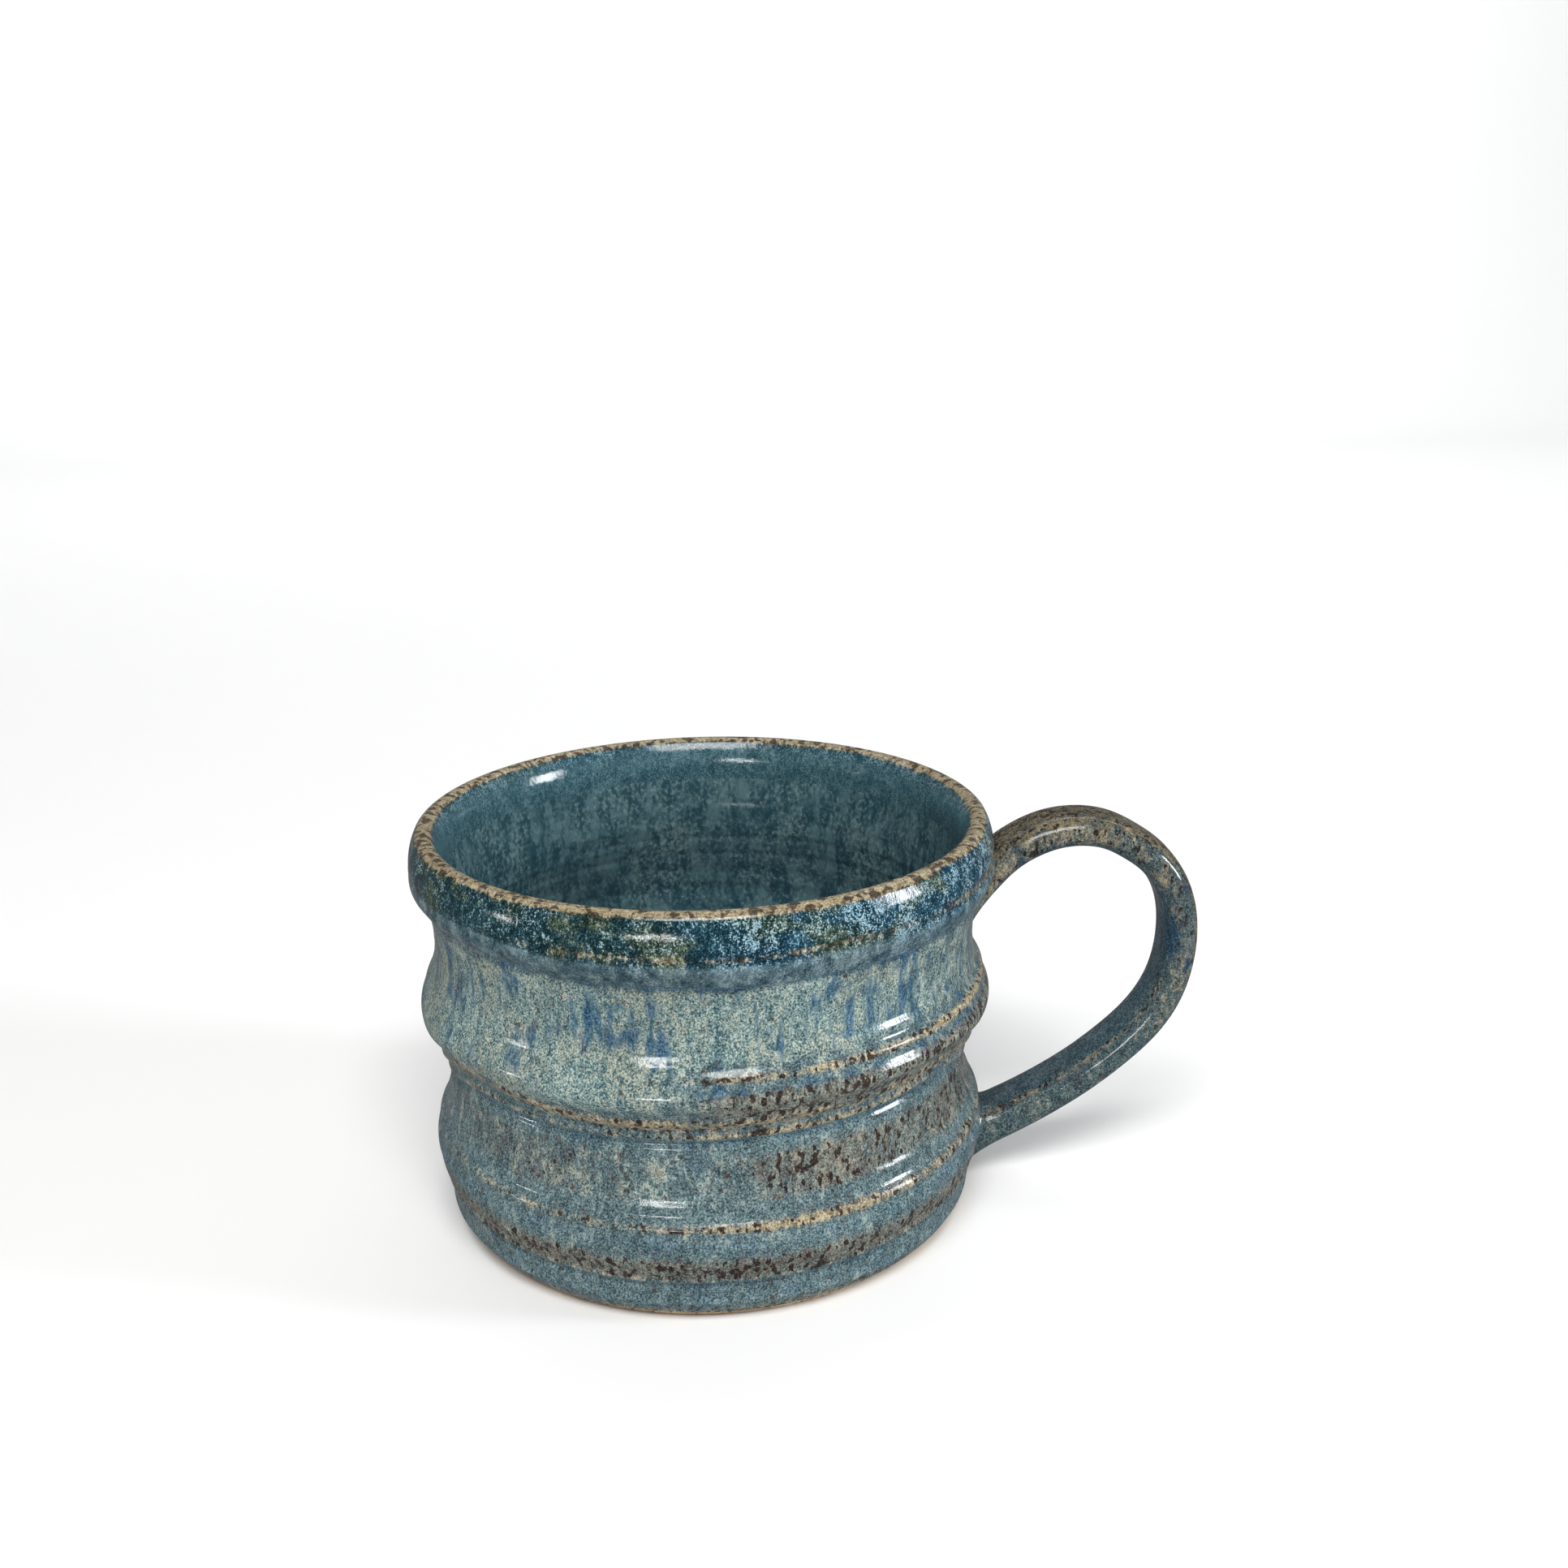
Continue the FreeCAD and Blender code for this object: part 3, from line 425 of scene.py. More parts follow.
# inside, the second coat feathers out under the liner's edge
low_R, low_Z = lip_profile(phi, -0.22)
fade = smooth(n_lip - 9, n_lip - 1, np.arange(1, n_lip))[:, None]
over_R = prof_R[1:n_lip] * (1 - fade) + low_R[1:n_lip] * fade
over_Z = prof_Z[1:n_lip] * (1 - fade) + low_Z[1:n_lip] * fade
Rall = np.concatenate([Rr, over_R])
Zall = np.concatenate([Zr, over_Z])
Pall = np.broadcast_to(phi, Rall.shape)
rim_outer = to_xyz(Rall, Zall, Pall)
zi = z0 + (69.7 - z0) * np.linspace(0, 1, 8)[:, None]
Ri = outer_sheet(zi, phi) - 0.7
bR, bZ = lip_profile(phi, -0.7)
pick = np.linspace(1, n_lip - 1, 34).astype(int)
Rin = np.concatenate([Ri, bR[pick]])
Zin = np.concatenate([zi, bZ[pick]])
rim_inner = to_xyz(Rin, Zin, np.broadcast_to(phi, Rin.shape))
# thin over the crest of the lip
s_idx = np.arange(len(Rall))[:, None] - len(Rr)
crest = smooth(11, 22, s_idx + 2.0 * wobble(phi, 35, 14, 0.3)[None, :]) * (1 - smooth(33 + 1.5 * wobble(phi, 38, 12, 0.3)[None, :], 44, s_idx)) * (0.95 + 0.1 * wobble(phi, 34, 9)[None, :])
crest = np.maximum(crest, (0.42 + 0.12 * wobble(phi, 36, 10)[None, :]) * bump(Zall, z0 + 5.7, 1.0) * (s_idx < 0))
glaze_rim = shell("glaze_rim", rim_outer, rim_inner,
                  {"thin": pad_attr(np.clip(crest, 0, 1), len(Rin)),
                   "cream": pad_attr(np.broadcast_to(smooth(math.radians(-110), math.radians(-70), phi)[None, :], Rall.shape), len(Rin)),
                   "deep": pad_attr(smooth(0.1, 0.9, Zall - z0) * (1 - smooth(3.9, 4.8, Zall - z0)) * (s_idx < 0), len(Rin)),
                   "inn": pad_attr(np.broadcast_to(smooth(34, 46, s_idx), Rall.shape), len(Rin))})

# --------------------------------------------------------------- liner glaze
start = n_lip - 8
lin_R, lin_Z = lip_profile(phi, -0.05)
lin_R, lin_Z = lin_R[start:, ::1], lin_Z[start:, ::1]
M = len(lin_R)
keep = np.unique(np.concatenate([np.arange(0, 40), np.linspace(40, M - 1, int((M - 40) * 0.68)).astype(int)]))
lin_R, lin_Z = lin_R[keep], lin_Z[keep]
back_R, back_Z = lip_profile(phi, -0.6)
pick = np.unique(np.linspace(start, len(back_R) - 1, 40).astype(int))
back_R, back_Z = back_R[pick], back_Z[pick]
top = to_xyz(lin_R, lin_Z, np.broadcast_to(phi, lin_R.shape))
und = to_xyz(back_R, back_Z, np.broadcast_to(phi, back_R.shape))
rows = np.concatenate([und[::-1], top], 0)
m, n = rows.shape[:2]
verts = np.concatenate([rows.reshape(-1, 3), [[0, 0, und[-1, :, 2].mean()], [0, 0, top[-1, :, 2].mean()]]])
j = np.arange(n)
fan0 = np.stack([np.full(n, m * n), (j + 1) % n, j], -1)
fan1 = np.stack([np.full(n, m * n + 1), (m - 1) * n + j, (m - 1) * n + (j + 1) % n], -1)
glaze_in = make_mesh("glaze_liner", verts, [strip_faces(m, n), fan0, fan1])

# ---------------------------------------------------------------- clay cup
foot = [(0.0, 1.2), (10.0, 1.2), (20.0, 1.2), (30.0, 1.2), (36.0, 1.17), (38.0, 1.05), (39.2, 0.62), (40.2, 0.12), (41.0, 0.0),
        (43.0, 0.0), (45.0, 0.0), (46.2, 0.0)]
fr = np.concatenate([np.linspace(0.6, 36, 60), np.linspace(36.4, 46.2, 30)])
fz = np.interp(fr, [p[0] for p in foot], [p[1] for p in foot])
FR = np.repeat(fr[:, None], N, 1)
FZ = np.repeat(fz[:, None], N, 1)
rec = (FR < 37)
FZ = FZ + rec * 0.07 * np.sin((FR - 2.6 * phi[None, :] / TAU) * TAU / 2.6) * smooth(3, 8, FR) * (1 - smooth(33, 37, FR))
bz = np.concatenate([np.linspace(0.0, 1, 7)[1:] ** 1.4 * 0.7, np.linspace(0.85, 5.0, 20)])[:, None]
BZ = np.repeat(bz, N, 1)
BP = np.broadcast_to(phi, BZ.shape)
BR = outer_sheet(BZ, phi) - 0.42
soft = np.clip(BZ / 0.7, 0, 1)
BR = np.where(BZ < 0.7, 46.2 + (outer_sheet(np.full_like(BZ, 0.7), phi) - 0.42 - 46.2) * np.sqrt(np.clip(1 - (1 - soft) ** 2, 0, 1)), BR)
cz = np.linspace(5.6, 69.5, 60)[:, None]
CZ = np.repeat(cz, N, 1)
CR = outer_sheet(CZ, phi) - 0.6
tR, tZ = lip_profile(phi, -0.5)
sel = np.unique(np.linspace(2, len(tR) - 1, 90).astype(int))
Rc = np.concatenate([FR, BR, CR, tR[sel]])
Zc = np.concatenate([FZ, BZ, CZ, tZ[sel]])
rows = to_xyz(Rc, Zc, np.broadcast_to(phi, Rc.shape))[:, ::2]
m, n = rows.shape[:2]
verts = np.concatenate([rows.reshape(-1, 3), [[0, 0, 1.2], [0, 0, rows[-1, :, 2].mean()]]])
j = np.arange(n)
fan0 = np.stack([np.full(n, m * n), (j + 1) % n, j], -1)
fan1 = np.stack([np.full(n, m * n + 1), (m - 1) * n + j, (m - 1) * n + (j + 1) % n], -1)
clay_cup = make_mesh("clay_cup", verts, [strip_faces(m, n), fan0, fan1])

# ------------------------------------------------------------------- handle
spine_pts = np.array([(51.2, 59.6), (52.9, 62.3), (56.3, 65.9), (60.67, 68.75), (65.6, 70.6), (70.84, 71.1), (75.9, 70.2), (80.4, 67.9), (84.6, 64.8),
                      (87.8, 60.7), (89.8, 55.6), (90.5, 49.9), (90.0, 43.5), (88.1, 37.2), (84.2, 31.0), (78.9, 25.7),
                      (72.8, 20.8), (65.86, 16.3), (59.0, 12.6), (52.6, 9.6)])
seg = np.concatenate([[0], np.cumsum(np.linalg.norm(np.diff(spine_pts, axis=0), axis=1))])
L_sp = seg[-1]
M_h = 190
u = np.linspace(0, 1, M_h)
sx, sz = cubic(seg, spine_pts[:, 0], u * L_sp), cubic(seg, spine_pts[:, 1], u * L_sp)
tx, tz = np.gradient(sx), np.gradient(sz)
tl = np.hypot(tx, tz)
tx, tz = tx / tl, tz / tl
nx, nz = -tz, tx                   # to the left of travel: the strap's outer face
K = 96
th = np.linspace(0, TAU, K, endpoint=False)


def section(half_w, half_t, n_pow=2.35):
    c, s = np.cos(th), np.sin(th)
    a = np.sign(c) * np.abs(c) ** (2 / n_pow) * half_t
    b = np.sign(s) * np.abs(s) ** (2 / n_pow) * half_w
    return a, b


half_t = np.interp(u, [0, 0.1, 0.3, 0.55, 0.8, 1.0], [3.55, 3.3, 3.3, 3.5, 3.85, 4.1])
half_w = np.interp(u, [0, 0.1, 0.45, 0.8, 1.0], [6.6, 6.3, 6.25, 6.0, 6.2])
half_t = half_t + 0.06 * wobble(u * TAU * 0.7, 41, 9)
half_w = half_w + 0.08 * wobble(u * TAU * 0.8, 42, 8)


def handle_sheet(off):
    rows = []
    for i in range(M_h):
        a, b = section(half_w[i] + off, half_t[i] + off)
        # two shallow finger furrows pulled along the strap, one each face
        w = half_w[i] + off
        furrow = 0.16 * np.exp(-((b / (0.42 * w)) ** 2)) * (np.abs(np.cos(th)) > 0.15)
        a = a - np.sign(np.cos(th)) * furrow
        x = sx[i] + a * nx[i]
        z = sz[i] + a * nz[i]
        rows.append(np.stack([x, b, z], 1))
    return np.array(rows)


def wall_x(y, z):
    ph = np.arctan2(y, np.sqrt(np.maximum(50.0 ** 2 - y ** 2, 1)))
    r = base_radius(np.clip(z, 0.5, 69.9), ph) + ridge_relief(np.clip(z, 0.5, 69.9), ph)
    zz = np.clip(z - 70.0, 0, 5.0)
    r = np.where(z > 70, 42.7 + np.sqrt(np.maximum(11.3 ** 2 - zz ** 2, 1.0)) - 0.15, r)
    return np.sqrt(np.maximum(r ** 2 - y ** 2, 1.0))


def rooted(off, sink):
    """The strap with each end flared on to the wall."""
    S = handle_sheet(off)
    out = []
    for end, (flare, back_, rowsn) in enumerate(((1.9, 9, 20), (2.0, 8, 20))):
        k = back_ if end == 0 else M_h - 1 - back_
        ring = S[k]
        t = np.array([tx[k], 0, tz[k]]) * (-1 if end == 0 else 1)
        cen = ring.mean(0)
        # march each vertex along the strap's own direction to the wall
        P = ring.copy()
        for _ in range(60):
            gap = P[:, 0] - wall_x(P[:, 1], P[:, 2])
            P = P + t[None, :] * (gap / max(-t[0], 0.2))[:, None] * 0.6
        c0 = P.mean(0)
        d = P - c0
        d[:, 0] = 0
        ln = np.maximum(np.linalg.norm(d, axis=1), 1e-6)
        wob = 1 + 0.18 * np.sin(3 * th + 1.3 + end) + 0.12 * np.sin(7 * th + 2 * end)
        land = P + d / ln[:, None] * (flare * wob)[:, None]
        land[:, 2] = np.clip(land[:, 2], 2.2, 74.2)
        land[:, 0] = wall_x(land[:, 1], land[:, 2]) - sink
        ctrl = ring + (P - ring) * 0.8
        ts = np.linspace(0, 1, rowsn + 1)[1:]
        flare_rows = [ring * (1 - s) ** 2 + ctrl * 2 * s * (1 - s) + land * s ** 2 for s in ts]
        out.append((k, np.array(flare_rows)))
    k0, rows0 = out[0]
    k1, rows1 = out[1]
    return np.concatenate([rows0[::-1], S[k0:k1 + 1], rows1]), len(rows0), len(rows1)


skin, nr0, nr1 = rooted(0.0, 0.35)
core, _, _ = rooted(-0.5, 0.6)
mh = len(skin)
run = np.linspace(0, 1, mh)
cosb = np.abs(np.cos(th)) ** (2 / 2.55)
sinb = np.abs(np.sin(th)) ** (2 / 2.55)
corner = np.clip((np.minimum(cosb, sinb) - 0.52) / 0.33, 0, 1)
outer_corner = corner * (np.cos(th) > 0)
inner_corner = corner * (np.cos(th) < 0)
so = np.interp(run, [0, 0.08, 0.5, 0.62, 1.0], [1.0, 1.0, 0.95, 0.5, 0.45]) + 0.18 * wobble(run * TAU, 43, 12, 0.3)
si = np.interp(run, [0, 0.35, 0.55, 0.7, 1.0], [0.45, 0.3, 0.6, 1.0, 0.95]) + 0.2 * wobble(run * TAU, 44, 12, 0.3)
hthin = np.clip(so[:, None] * outer_corner[None, :] + si[:, None] * inner_corner[None, :], 0, 1)
edge_thin = np.interp(run, [0, 0.1, 0.3, 0.5, 0.7, 1.0], [0.55, 0.6, 0.6, 0.42, 0.3, 0.3])[:, None] * np.clip((sinb - 0.6) / 0.4, 0, 1)[None, :]
hthin = np.maximum(hthin, edge_thin)
near_root = np.maximum(1 - np.arange(mh) / 14.0, 1 - (mh - 1 - np.arange(mh)) / 14.0).clip(0, 1)
hthin = hthin * (1 - 0.5 * near_root[:, None])
glaze_handle = None
rows = np.concatenate([skin, core[::-1]])
att = np.concatenate([hthin, hthin[::-1]])
inside_face = np.clip(-np.cos(th), 0, 1)[None, :] * np.ones((mh, 1))
hcream = 0.12 * np.ones((mh, K))
hdeep = 0.25 + 0.6 * inside_face
hbrown = 0.25 + 0.6 * np.clip(np.cos(th), 0, 1)[None, :] * np.interp(run, [0, 0.5, 0.7, 1.0], [1, 0.8, 0.5, 0.4])[:, None]
glaze_handle = make_mesh("glaze_handle", rows.reshape(-1, 3), [torus_faces(2 * mh, K)],
                         {"thin": att, "cream": np.concatenate([hcream, hcream]),
                          "deep": np.concatenate([hdeep, hdeep[::-1]]),
                          "brown": np.concatenate([hbrown, hbrown[::-1]])})


def capped(name, rows_):
    m_, n_ = rows_.shape[:2]
    v = np.concatenate([rows_.reshape(-1, 3), [rows_[0].mean(0), rows_[-1].mean(0)]])
    jj = np.arange(n_)
    a = np.stack([np.full(n_, m_ * n_), (jj + 1) % n_, jj], -1)
    b = np.stack([np.full(n_, m_ * n_ + 1), (m_ - 1) * n_ + jj, (m_ - 1) * n_ + (jj + 1) % n_], -1)
    return make_mesh(name, v, [strip_faces(m_, n_), a, b])


# the clay under the handle's glaze: the strap, and a ring of clay at each root
clay_strap = capped("clay_strap", core[nr0:mh - nr1:2, ::2] * 1.0)
inner_strap, _, _ = rooted(-1.6, 0.7)
clay_wad_up = make_mesh("clay_wad_upper", np.concatenate([core[:nr0 + 1], inner_strap[:nr0 + 1][::-1]]).reshape(-1, 3),
                        [torus_faces(2 * (nr0 + 1), K)])
clay_wad_low = make_mesh("clay_pad_lower", np.concatenate([core[-nr1 - 1:], inner_strap[-nr1 - 1:][::-1]]).reshape(-1, 3),
                         [torus_faces(2 * (nr1 + 1), K)])

# ---------------------------------------------------------------- materials
def lin(r, g, b):
    return tuple((c / 255 / 12.92) if c / 255 <= 0.04045 else ((c / 255 + 0.055) / 1.055) ** 2.4 for c in (r, g, b)) + (1.0,)


class Shader:
    """A short way to write a node material in millimetres."""

    def __init__(self, name):
        self.mat = bpy.data.materials.new(name)
        self.mat.use_nodes = True
        self.nt = self.mat.node_tree
        self.nt.nodes.clear()
        self.out = self.nt.nodes.new("ShaderNodeOutputMaterial")
        self.bsdf = self.nt.nodes.new("ShaderNodeBsdfPrincipled")
        self.nt.links.new(self.bsdf.outputs[0], self.out.inputs["Surface"])
        tc = self.nt.nodes.new("ShaderNodeTexCoord")
        sc = self.nt.nodes.new("ShaderNodeVectorMath")
        sc.operation = "SCALE"
        sc.inputs["Scale"].default_value = 1000.0
        self.nt.links.new(tc.outputs["Object"], sc.inputs[0])
        self.co = sc.outputs[0]

    def put(self, value, socket):
        if isinstance(value, (int, float)):
            socket.default_value = value
        elif isinstance(value, tuple):
            socket.default_value = value
        else:
            self.nt.links.new(value, socket)

    def math(self, op, a, b=0.0, c=0.0, clamp=False):
        n = self.nt.nodes.new("ShaderNodeMath")
        n.operation = op
        n.use_clamp = clamp
        for i, v in enumerate((a, b, c)):
            self.put(v, n.inputs[i])
        return n.outputs[0]

    def mul(self, a, b):
        return self.math("MULTIPLY", a, b)

    def add(self, a, b):
        return self.math("ADD", a, b)

    def high(self, a, b):
        return self.math("MAXIMUM", a, b)

    def inv(self, a):
        return self.math("SUBTRACT", 1.0, a)

    def step(self, x, lo, hi, to0=0.0, to1=1.0):
        n = self.nt.nodes.new("ShaderNodeMapRange")
        n.interpolation_type = "SMOOTHSTEP"
        self.put(x, n.inputs["Value"])
        for key, v in (("From Min", lo), ("From Max", hi), ("To Min", to0), ("To Max", to1)):
            self.put(v, n.inputs[key])
        return n.outputs[0]

    def line(self, x, lo, hi, to0=0.0, to1=1.0):
        n = self.nt.nodes.new("ShaderNodeMapRange")
        n.interpolation_type = "LINEAR"
        self.put(x, n.inputs["Value"])
        for key, v in (("From Min", lo), ("From Max", hi), ("To Min", to0), ("To Max", to1)):
            self.put(v, n.inputs[key])
        return n.outputs[0]

    def mix(self, fac, a, b):
        n = self.nt.nodes.new("ShaderNodeMix")
        n.data_type = "RGBA"
        self.put(fac, n.inputs[0])
        self.put(a, n.inputs[6])
        self.put(b, n.inputs[7])
        return n.outputs[2]

    def shade(self, colour, k):
        n = self.nt.nodes.new("ShaderNodeMix")
        n.data_type = "RGBA"
        n.blend_type = "MULTIPLY"
        n.inputs[0].default_value = 1.0
        self.put(colour, n.inputs[6])
        self.put((k, k, k, 1.0), n.inputs[7])
        return n.outputs[2]

    def ramp(self, fac, stops):
        n = self.nt.nodes.new("ShaderNodeValToRGB")
        e = n.color_ramp.elements
        while len(e) < len(stops):
            e.new(0.5)
        for el, (pos, col) in zip(e, stops):
            el.position = pos
            el.color = col
        self.put(fac, n.inputs[0])
        return n.outputs[0]

    def place(self, stretch, shift):
        n = self.nt.nodes.new("ShaderNodeVectorMath")
        n.operation = "MULTIPLY_ADD"
        self.nt.links.new(self.co, n.inputs[0])
        n.inputs[1].default_value = stretch
        n.inputs[2].default_value = shift
        return n.outputs[0]

    def noise(self, scale, detail=2.0, rough=0.5, stretch=(1, 1, 1), seed=0, warp=0.0):
        n = self.nt.nodes.new("ShaderNodeTexNoise")
        self.nt.links.new(self.place(stretch, (seed * 17.3, seed * 5.1, seed * 29.7)), n.inputs["Vector"])
        n.inputs["Scale"].default_value = scale
        n.inputs["Detail"].default_value = detail
        n.inputs["Roughness"].default_value = rough
        n.inputs["Distortion"].default_value = warp
        return n.outputs[0]

    def cells(self, scale, stretch=(1, 1, 1), seed=0, rand=1.0, out="Distance"):
        n = self.nt.nodes.new("ShaderNodeTexVoronoi")
        self.nt.links.new(self.place(stretch, (seed * 11.9, seed * 7.7, seed * 3.3)), n.inputs["Vector"])
        n.inputs["Scale"].default_value = scale
        n.inputs["Randomness"].default_value = rand
        return n.outputs[out]

    def attr(self, name):
        n = self.nt.nodes.new("ShaderNodeAttribute")
        n.attribute_name = name
        return n.outputs["Fac"]

    def height(self):
        n = self.nt.nodes.new("ShaderNodeSeparateXYZ")
        self.nt.links.new(self.co, n.inputs[0])
        return n.outputs[2]

    def bump(self, height, dist, strength=1.0, normal=None):
        n = self.nt.nodes.new("ShaderNodeBump")
        n.inputs["Strength"].default_value = strength
        n.inputs["Distance"].default_value = dist * MM
        self.put(height, n.inputs["Height"])
        if normal is not None:
            self.nt.links.new(normal, n.inputs["Normal"])
        return n.outputs[0]

    def done(self, colour, rough, normal, coat=0.0, coat_rough=0.06, ior=1.5, level=0.34):
        self.put(colour, self.bsdf.inputs["Base Color"])
        self.put(rough, self.bsdf.inputs["Roughness"])
        self.nt.links.new(normal, self.bsdf.inputs["Normal"])
        self.bsdf.inputs["IOR"].default_value = ior
        self.bsdf.inputs["Specular IOR Level"].default_value = level
        self.bsdf.inputs["Coat Weight"].default_value = coat
        self.bsdf.inputs["Coat Roughness"].default_value = coat_rough
        return self.mat


DEEP = lin(22, 54, 78)
TAN = lin(176, 152, 112)
TAN2 = lin(132, 110, 78)
IRON = lin(44, 28, 22)
MAUVE = lin(88, 74, 74)
UMBER = lin(66, 50, 42)


def blue_glaze(name, handle=False):
    s = Shader(name)
    thin, cream, deep, brown = s.attr("thin"), s.attr("cream"), s.attr("deep"), s.attr("brown")
    fine = s.noise(3.3, 2, 0.65, (1, 1, 0.9), 2)
    grain = s.noise(1.0, 4, 0.7, (1, 1, 0.6), 1)
    mott = s.noise(0.33, 4, 0.65, (1, 1, 0.5), 5, 0.5)
    patch = s.noise(0.075, 3, 0.55, (1, 1, 0.9), 4)
    v = s.add(s.add(s.mul(fine, 0.58), s.mul(grain, 0.24)), s.mul(mott, 0.18))
    body = s.ramp(v, [(0.41, lin(38, 54, 60)), (0.47, lin(72, 90, 94)), (0.52, lin(92, 111, 114)), (0.59, lin(130, 150, 152))])
    pale = s.ramp(v, [(0.41, lin(34, 64, 76)), (0.465, lin(82, 108, 112)), (0.52, lin(120, 140, 137)), (0.585, lin(172, 184, 176))])
    sage = s.ramp(v, [(0.41, lin(50, 70, 76)), (0.465, lin(92, 106, 102)), (0.52, lin(130, 134, 120)), (0.585, lin(174, 172, 152))])
    hue = s.noise(1.7, 3, 0.7, (1, 1, 0.8), 21)
    sg = s.step(s.add(s.add(s.mul(patch, 0.6), s.mul(hue, 0.6)), s.mul(s.math("SUBTRACT", mott, 0.5), 0.4)), 0.54, 0.68)
    light = s.mix(s.mul(sg, 0.6), pale, sage)
    cm = s.step(s.add(cream, s.add(s.mul(s.math("SUBTRACT", mott, 0.5), 1.5), s.mul(s.math("SUBTRACT", grain, 0.5), 1.2))), 0.2, 0.62)
    c = s.mix(cm, body, light)
    # deep blue where the glaze pools, in short curtains down the wall
    streak = s.noise(0.5, 4, 0.68, (1, 1, 0.2), 3)
    gate = s.noise(0.13, 2, 0.5, (1, 1, 0.7), 12)
    d_in = s.add(s.add(s.mul(streak, 0.62), s.mul(fine, 0.22)), s.add(s.mul(grain, 0.16), s.mul(gate, 0.35)))
    d_in = s.add(d_in, s.mul(deep, 0.13))
    d = s.step(d_in, 0.745, 0.80)
    d = s.mul(d, s.step(s.height(), 30.0, 50.0, 0.3, 1.0))
    c = s.mix(s.mul(d, 0.85), c, s.ramp(v, [(0.38, lin(16, 44, 66)), (0.5, lin(34, 70, 98)), (0.62, lin(84, 124, 150))]))
    # a general cooling of thick glaze; it also lays the painted shade line in the groove under the rim's second coat
    c = s.mix(s.mul(s.step(s.add(deep, s.math("SUBTRACT", grain, 0.5)), 0.45, 1.0), 0.55), c,
              s.ramp(v, [(0.38, lin(22, 46, 60)), (0.5, lin(58, 86, 102)), (0.62, lin(112, 140, 154))]))
    # iron blotches: short upright marks
    bl = s.noise(0.75, 4, 0.72, (1, 1, 0.5), 6, 0.4)
    gate2 = s.noise(0.16, 2, 0.5, (1, 1, 0.8), 13)
    b_in = s.add(s.add(s.mul(bl, 0.75), s.mul(fine, 0.25)), s.add(s.mul(gate2, 0.18), s.mul(brown, 0.115)))
    b = s.step(b_in, 0.675, 0.74)
    c = s.mix(s.mul(b, 0.55), c, s.ramp(v, [(0.4, lin(46, 34, 32)), (0.52, lin(82, 68, 68)), (0.64, lin(116, 104, 104))]))
    bf = s.step(s.add(brown, s.math("SUBTRACT", mott, 0.5)), 0.35, 0.9)
    c = s.mix(s.mul(bf, 0.5), c, s.ramp(v, [(0.42, lin(66, 62, 54)), (0.5, lin(106, 100, 86)), (0.58, lin(150, 142, 120))]))
    # the clay's tan where the glaze breaks over an edge, ticked with iron
    t_in = s.add(thin, s.add(s.mul(s.math("SUBTRACT", mott, 0.5), 1.5), s.mul(s.math("SUBTRACT", grain, 0.5), 1.3)))
    t = s.step(t_in, 0.3, 0.95)
    tan = s.ramp(s.add(s.mul(fine, 0.6), s.mul(grain, 0.4)), [(0.4, lin(92, 80, 62)), (0.47, lin(138, 124, 98)), (0.54, lin(170, 156, 126)), (0.62, lin(200, 190, 164))])
    c = s.mix(s.mul(t, 0.82), c, tan)
    spots = s.add(s.mul(s.noise(0.8, 2, 0.55, (1, 1, 0.6), 8, 0.2), 0.86), s.mul(fine, 0.14))
    amt = s.high(s.mul(s.step(thin, 0.1, 0.7), 0.95), s.step(s.add(brown, s.mul(s.math("SUBTRACT", gate2, 0.5), 0.4)), 0.2, 0.92))
    cut = s.line(amt, 0.0, 1.0, 0.665, 0.55)
    tick = s.step(s.math("SUBTRACT", spots, cut), 0.0, 0.04)
    dots = s.add(s.cells(0.72, (1, 1, 0.58), 5), s.mul(s.math("SUBTRACT", fine, 0.5), 0.55))
    reach = s.mul(s.line(amt, 0.0, 1.0, 0.02, 0.38), s.step(s.cells(0.72, (1, 1, 0.58), 5, 1.0, "Color"), 0.2, 0.75, 0.45, 1.15))
    tick = s.high(tick, s.step(s.math("SUBTRACT", reach, dots), -0.02, 0.09))
    near = s.step(amt, 0.03, 0.2)
    c = s.mix(s.mul(s.mul(tick, near), s.line(amt, 0.0, 0.8, 0.6, 0.95)), c, s.mix(s.step(fine, 0.45, 0.62), lin(30, 22, 20), lin(62, 48, 43)))
    # stray iron specks
    cell = s.cells(0.42, (1, 1, 0.8), 2)
    pick = s.step(s.cells(0.42, (1, 1, 0.8), 2, 1.0, "Color"), 0.58, 0.66)
    sp = s.mul(s.step(s.add(cell, s.mul(s.math("SUBTRACT", fine, 0.5), 0.5)), 0.2, 0.13), pick)
    c = s.mix(s.mul(sp, 0.75), c, UMBER)
    if handle:
        # painted shade: the handle's glaze is the body glaze darkened to 0.62 all over, a shaded copy of one material;
        # over it comes the ochre-brown of the outer face with dark iron ticks
        c = s.shade(c, 0.62)
        c = s.mix(s.mul(s.step(s.add(brown, s.mul(s.math("SUBTRACT", mott, 0.5), 1.2)), 0.4, 0.85), 0.6), c,
                  s.mix(tick, s.ramp(v, [(0.42, lin(48, 40, 24)), (0.5, lin(92, 80, 52)), (0.58, lin(128, 114, 80))]), lin(36, 27, 22)))
    rough = s.add(s.line(grain, 0.3, 0.7, 0.05, 0.12), s.mul(t, 0.06))
    h = s.add(s.add(s.mul(mott, 0.55), s.mul(grain, 0.22)), s.add(s.mul(fine, 0.05), s.mul(s.noise(0.16, 2, 0.5, (1, 1, 1), 9), 1.2)))
    h = s.add(h, s.mul(s.mul(tick, near), -0.12))
    return s.done(c, rough, s.bump(h, 0.11, 1.0), ior=1.5)


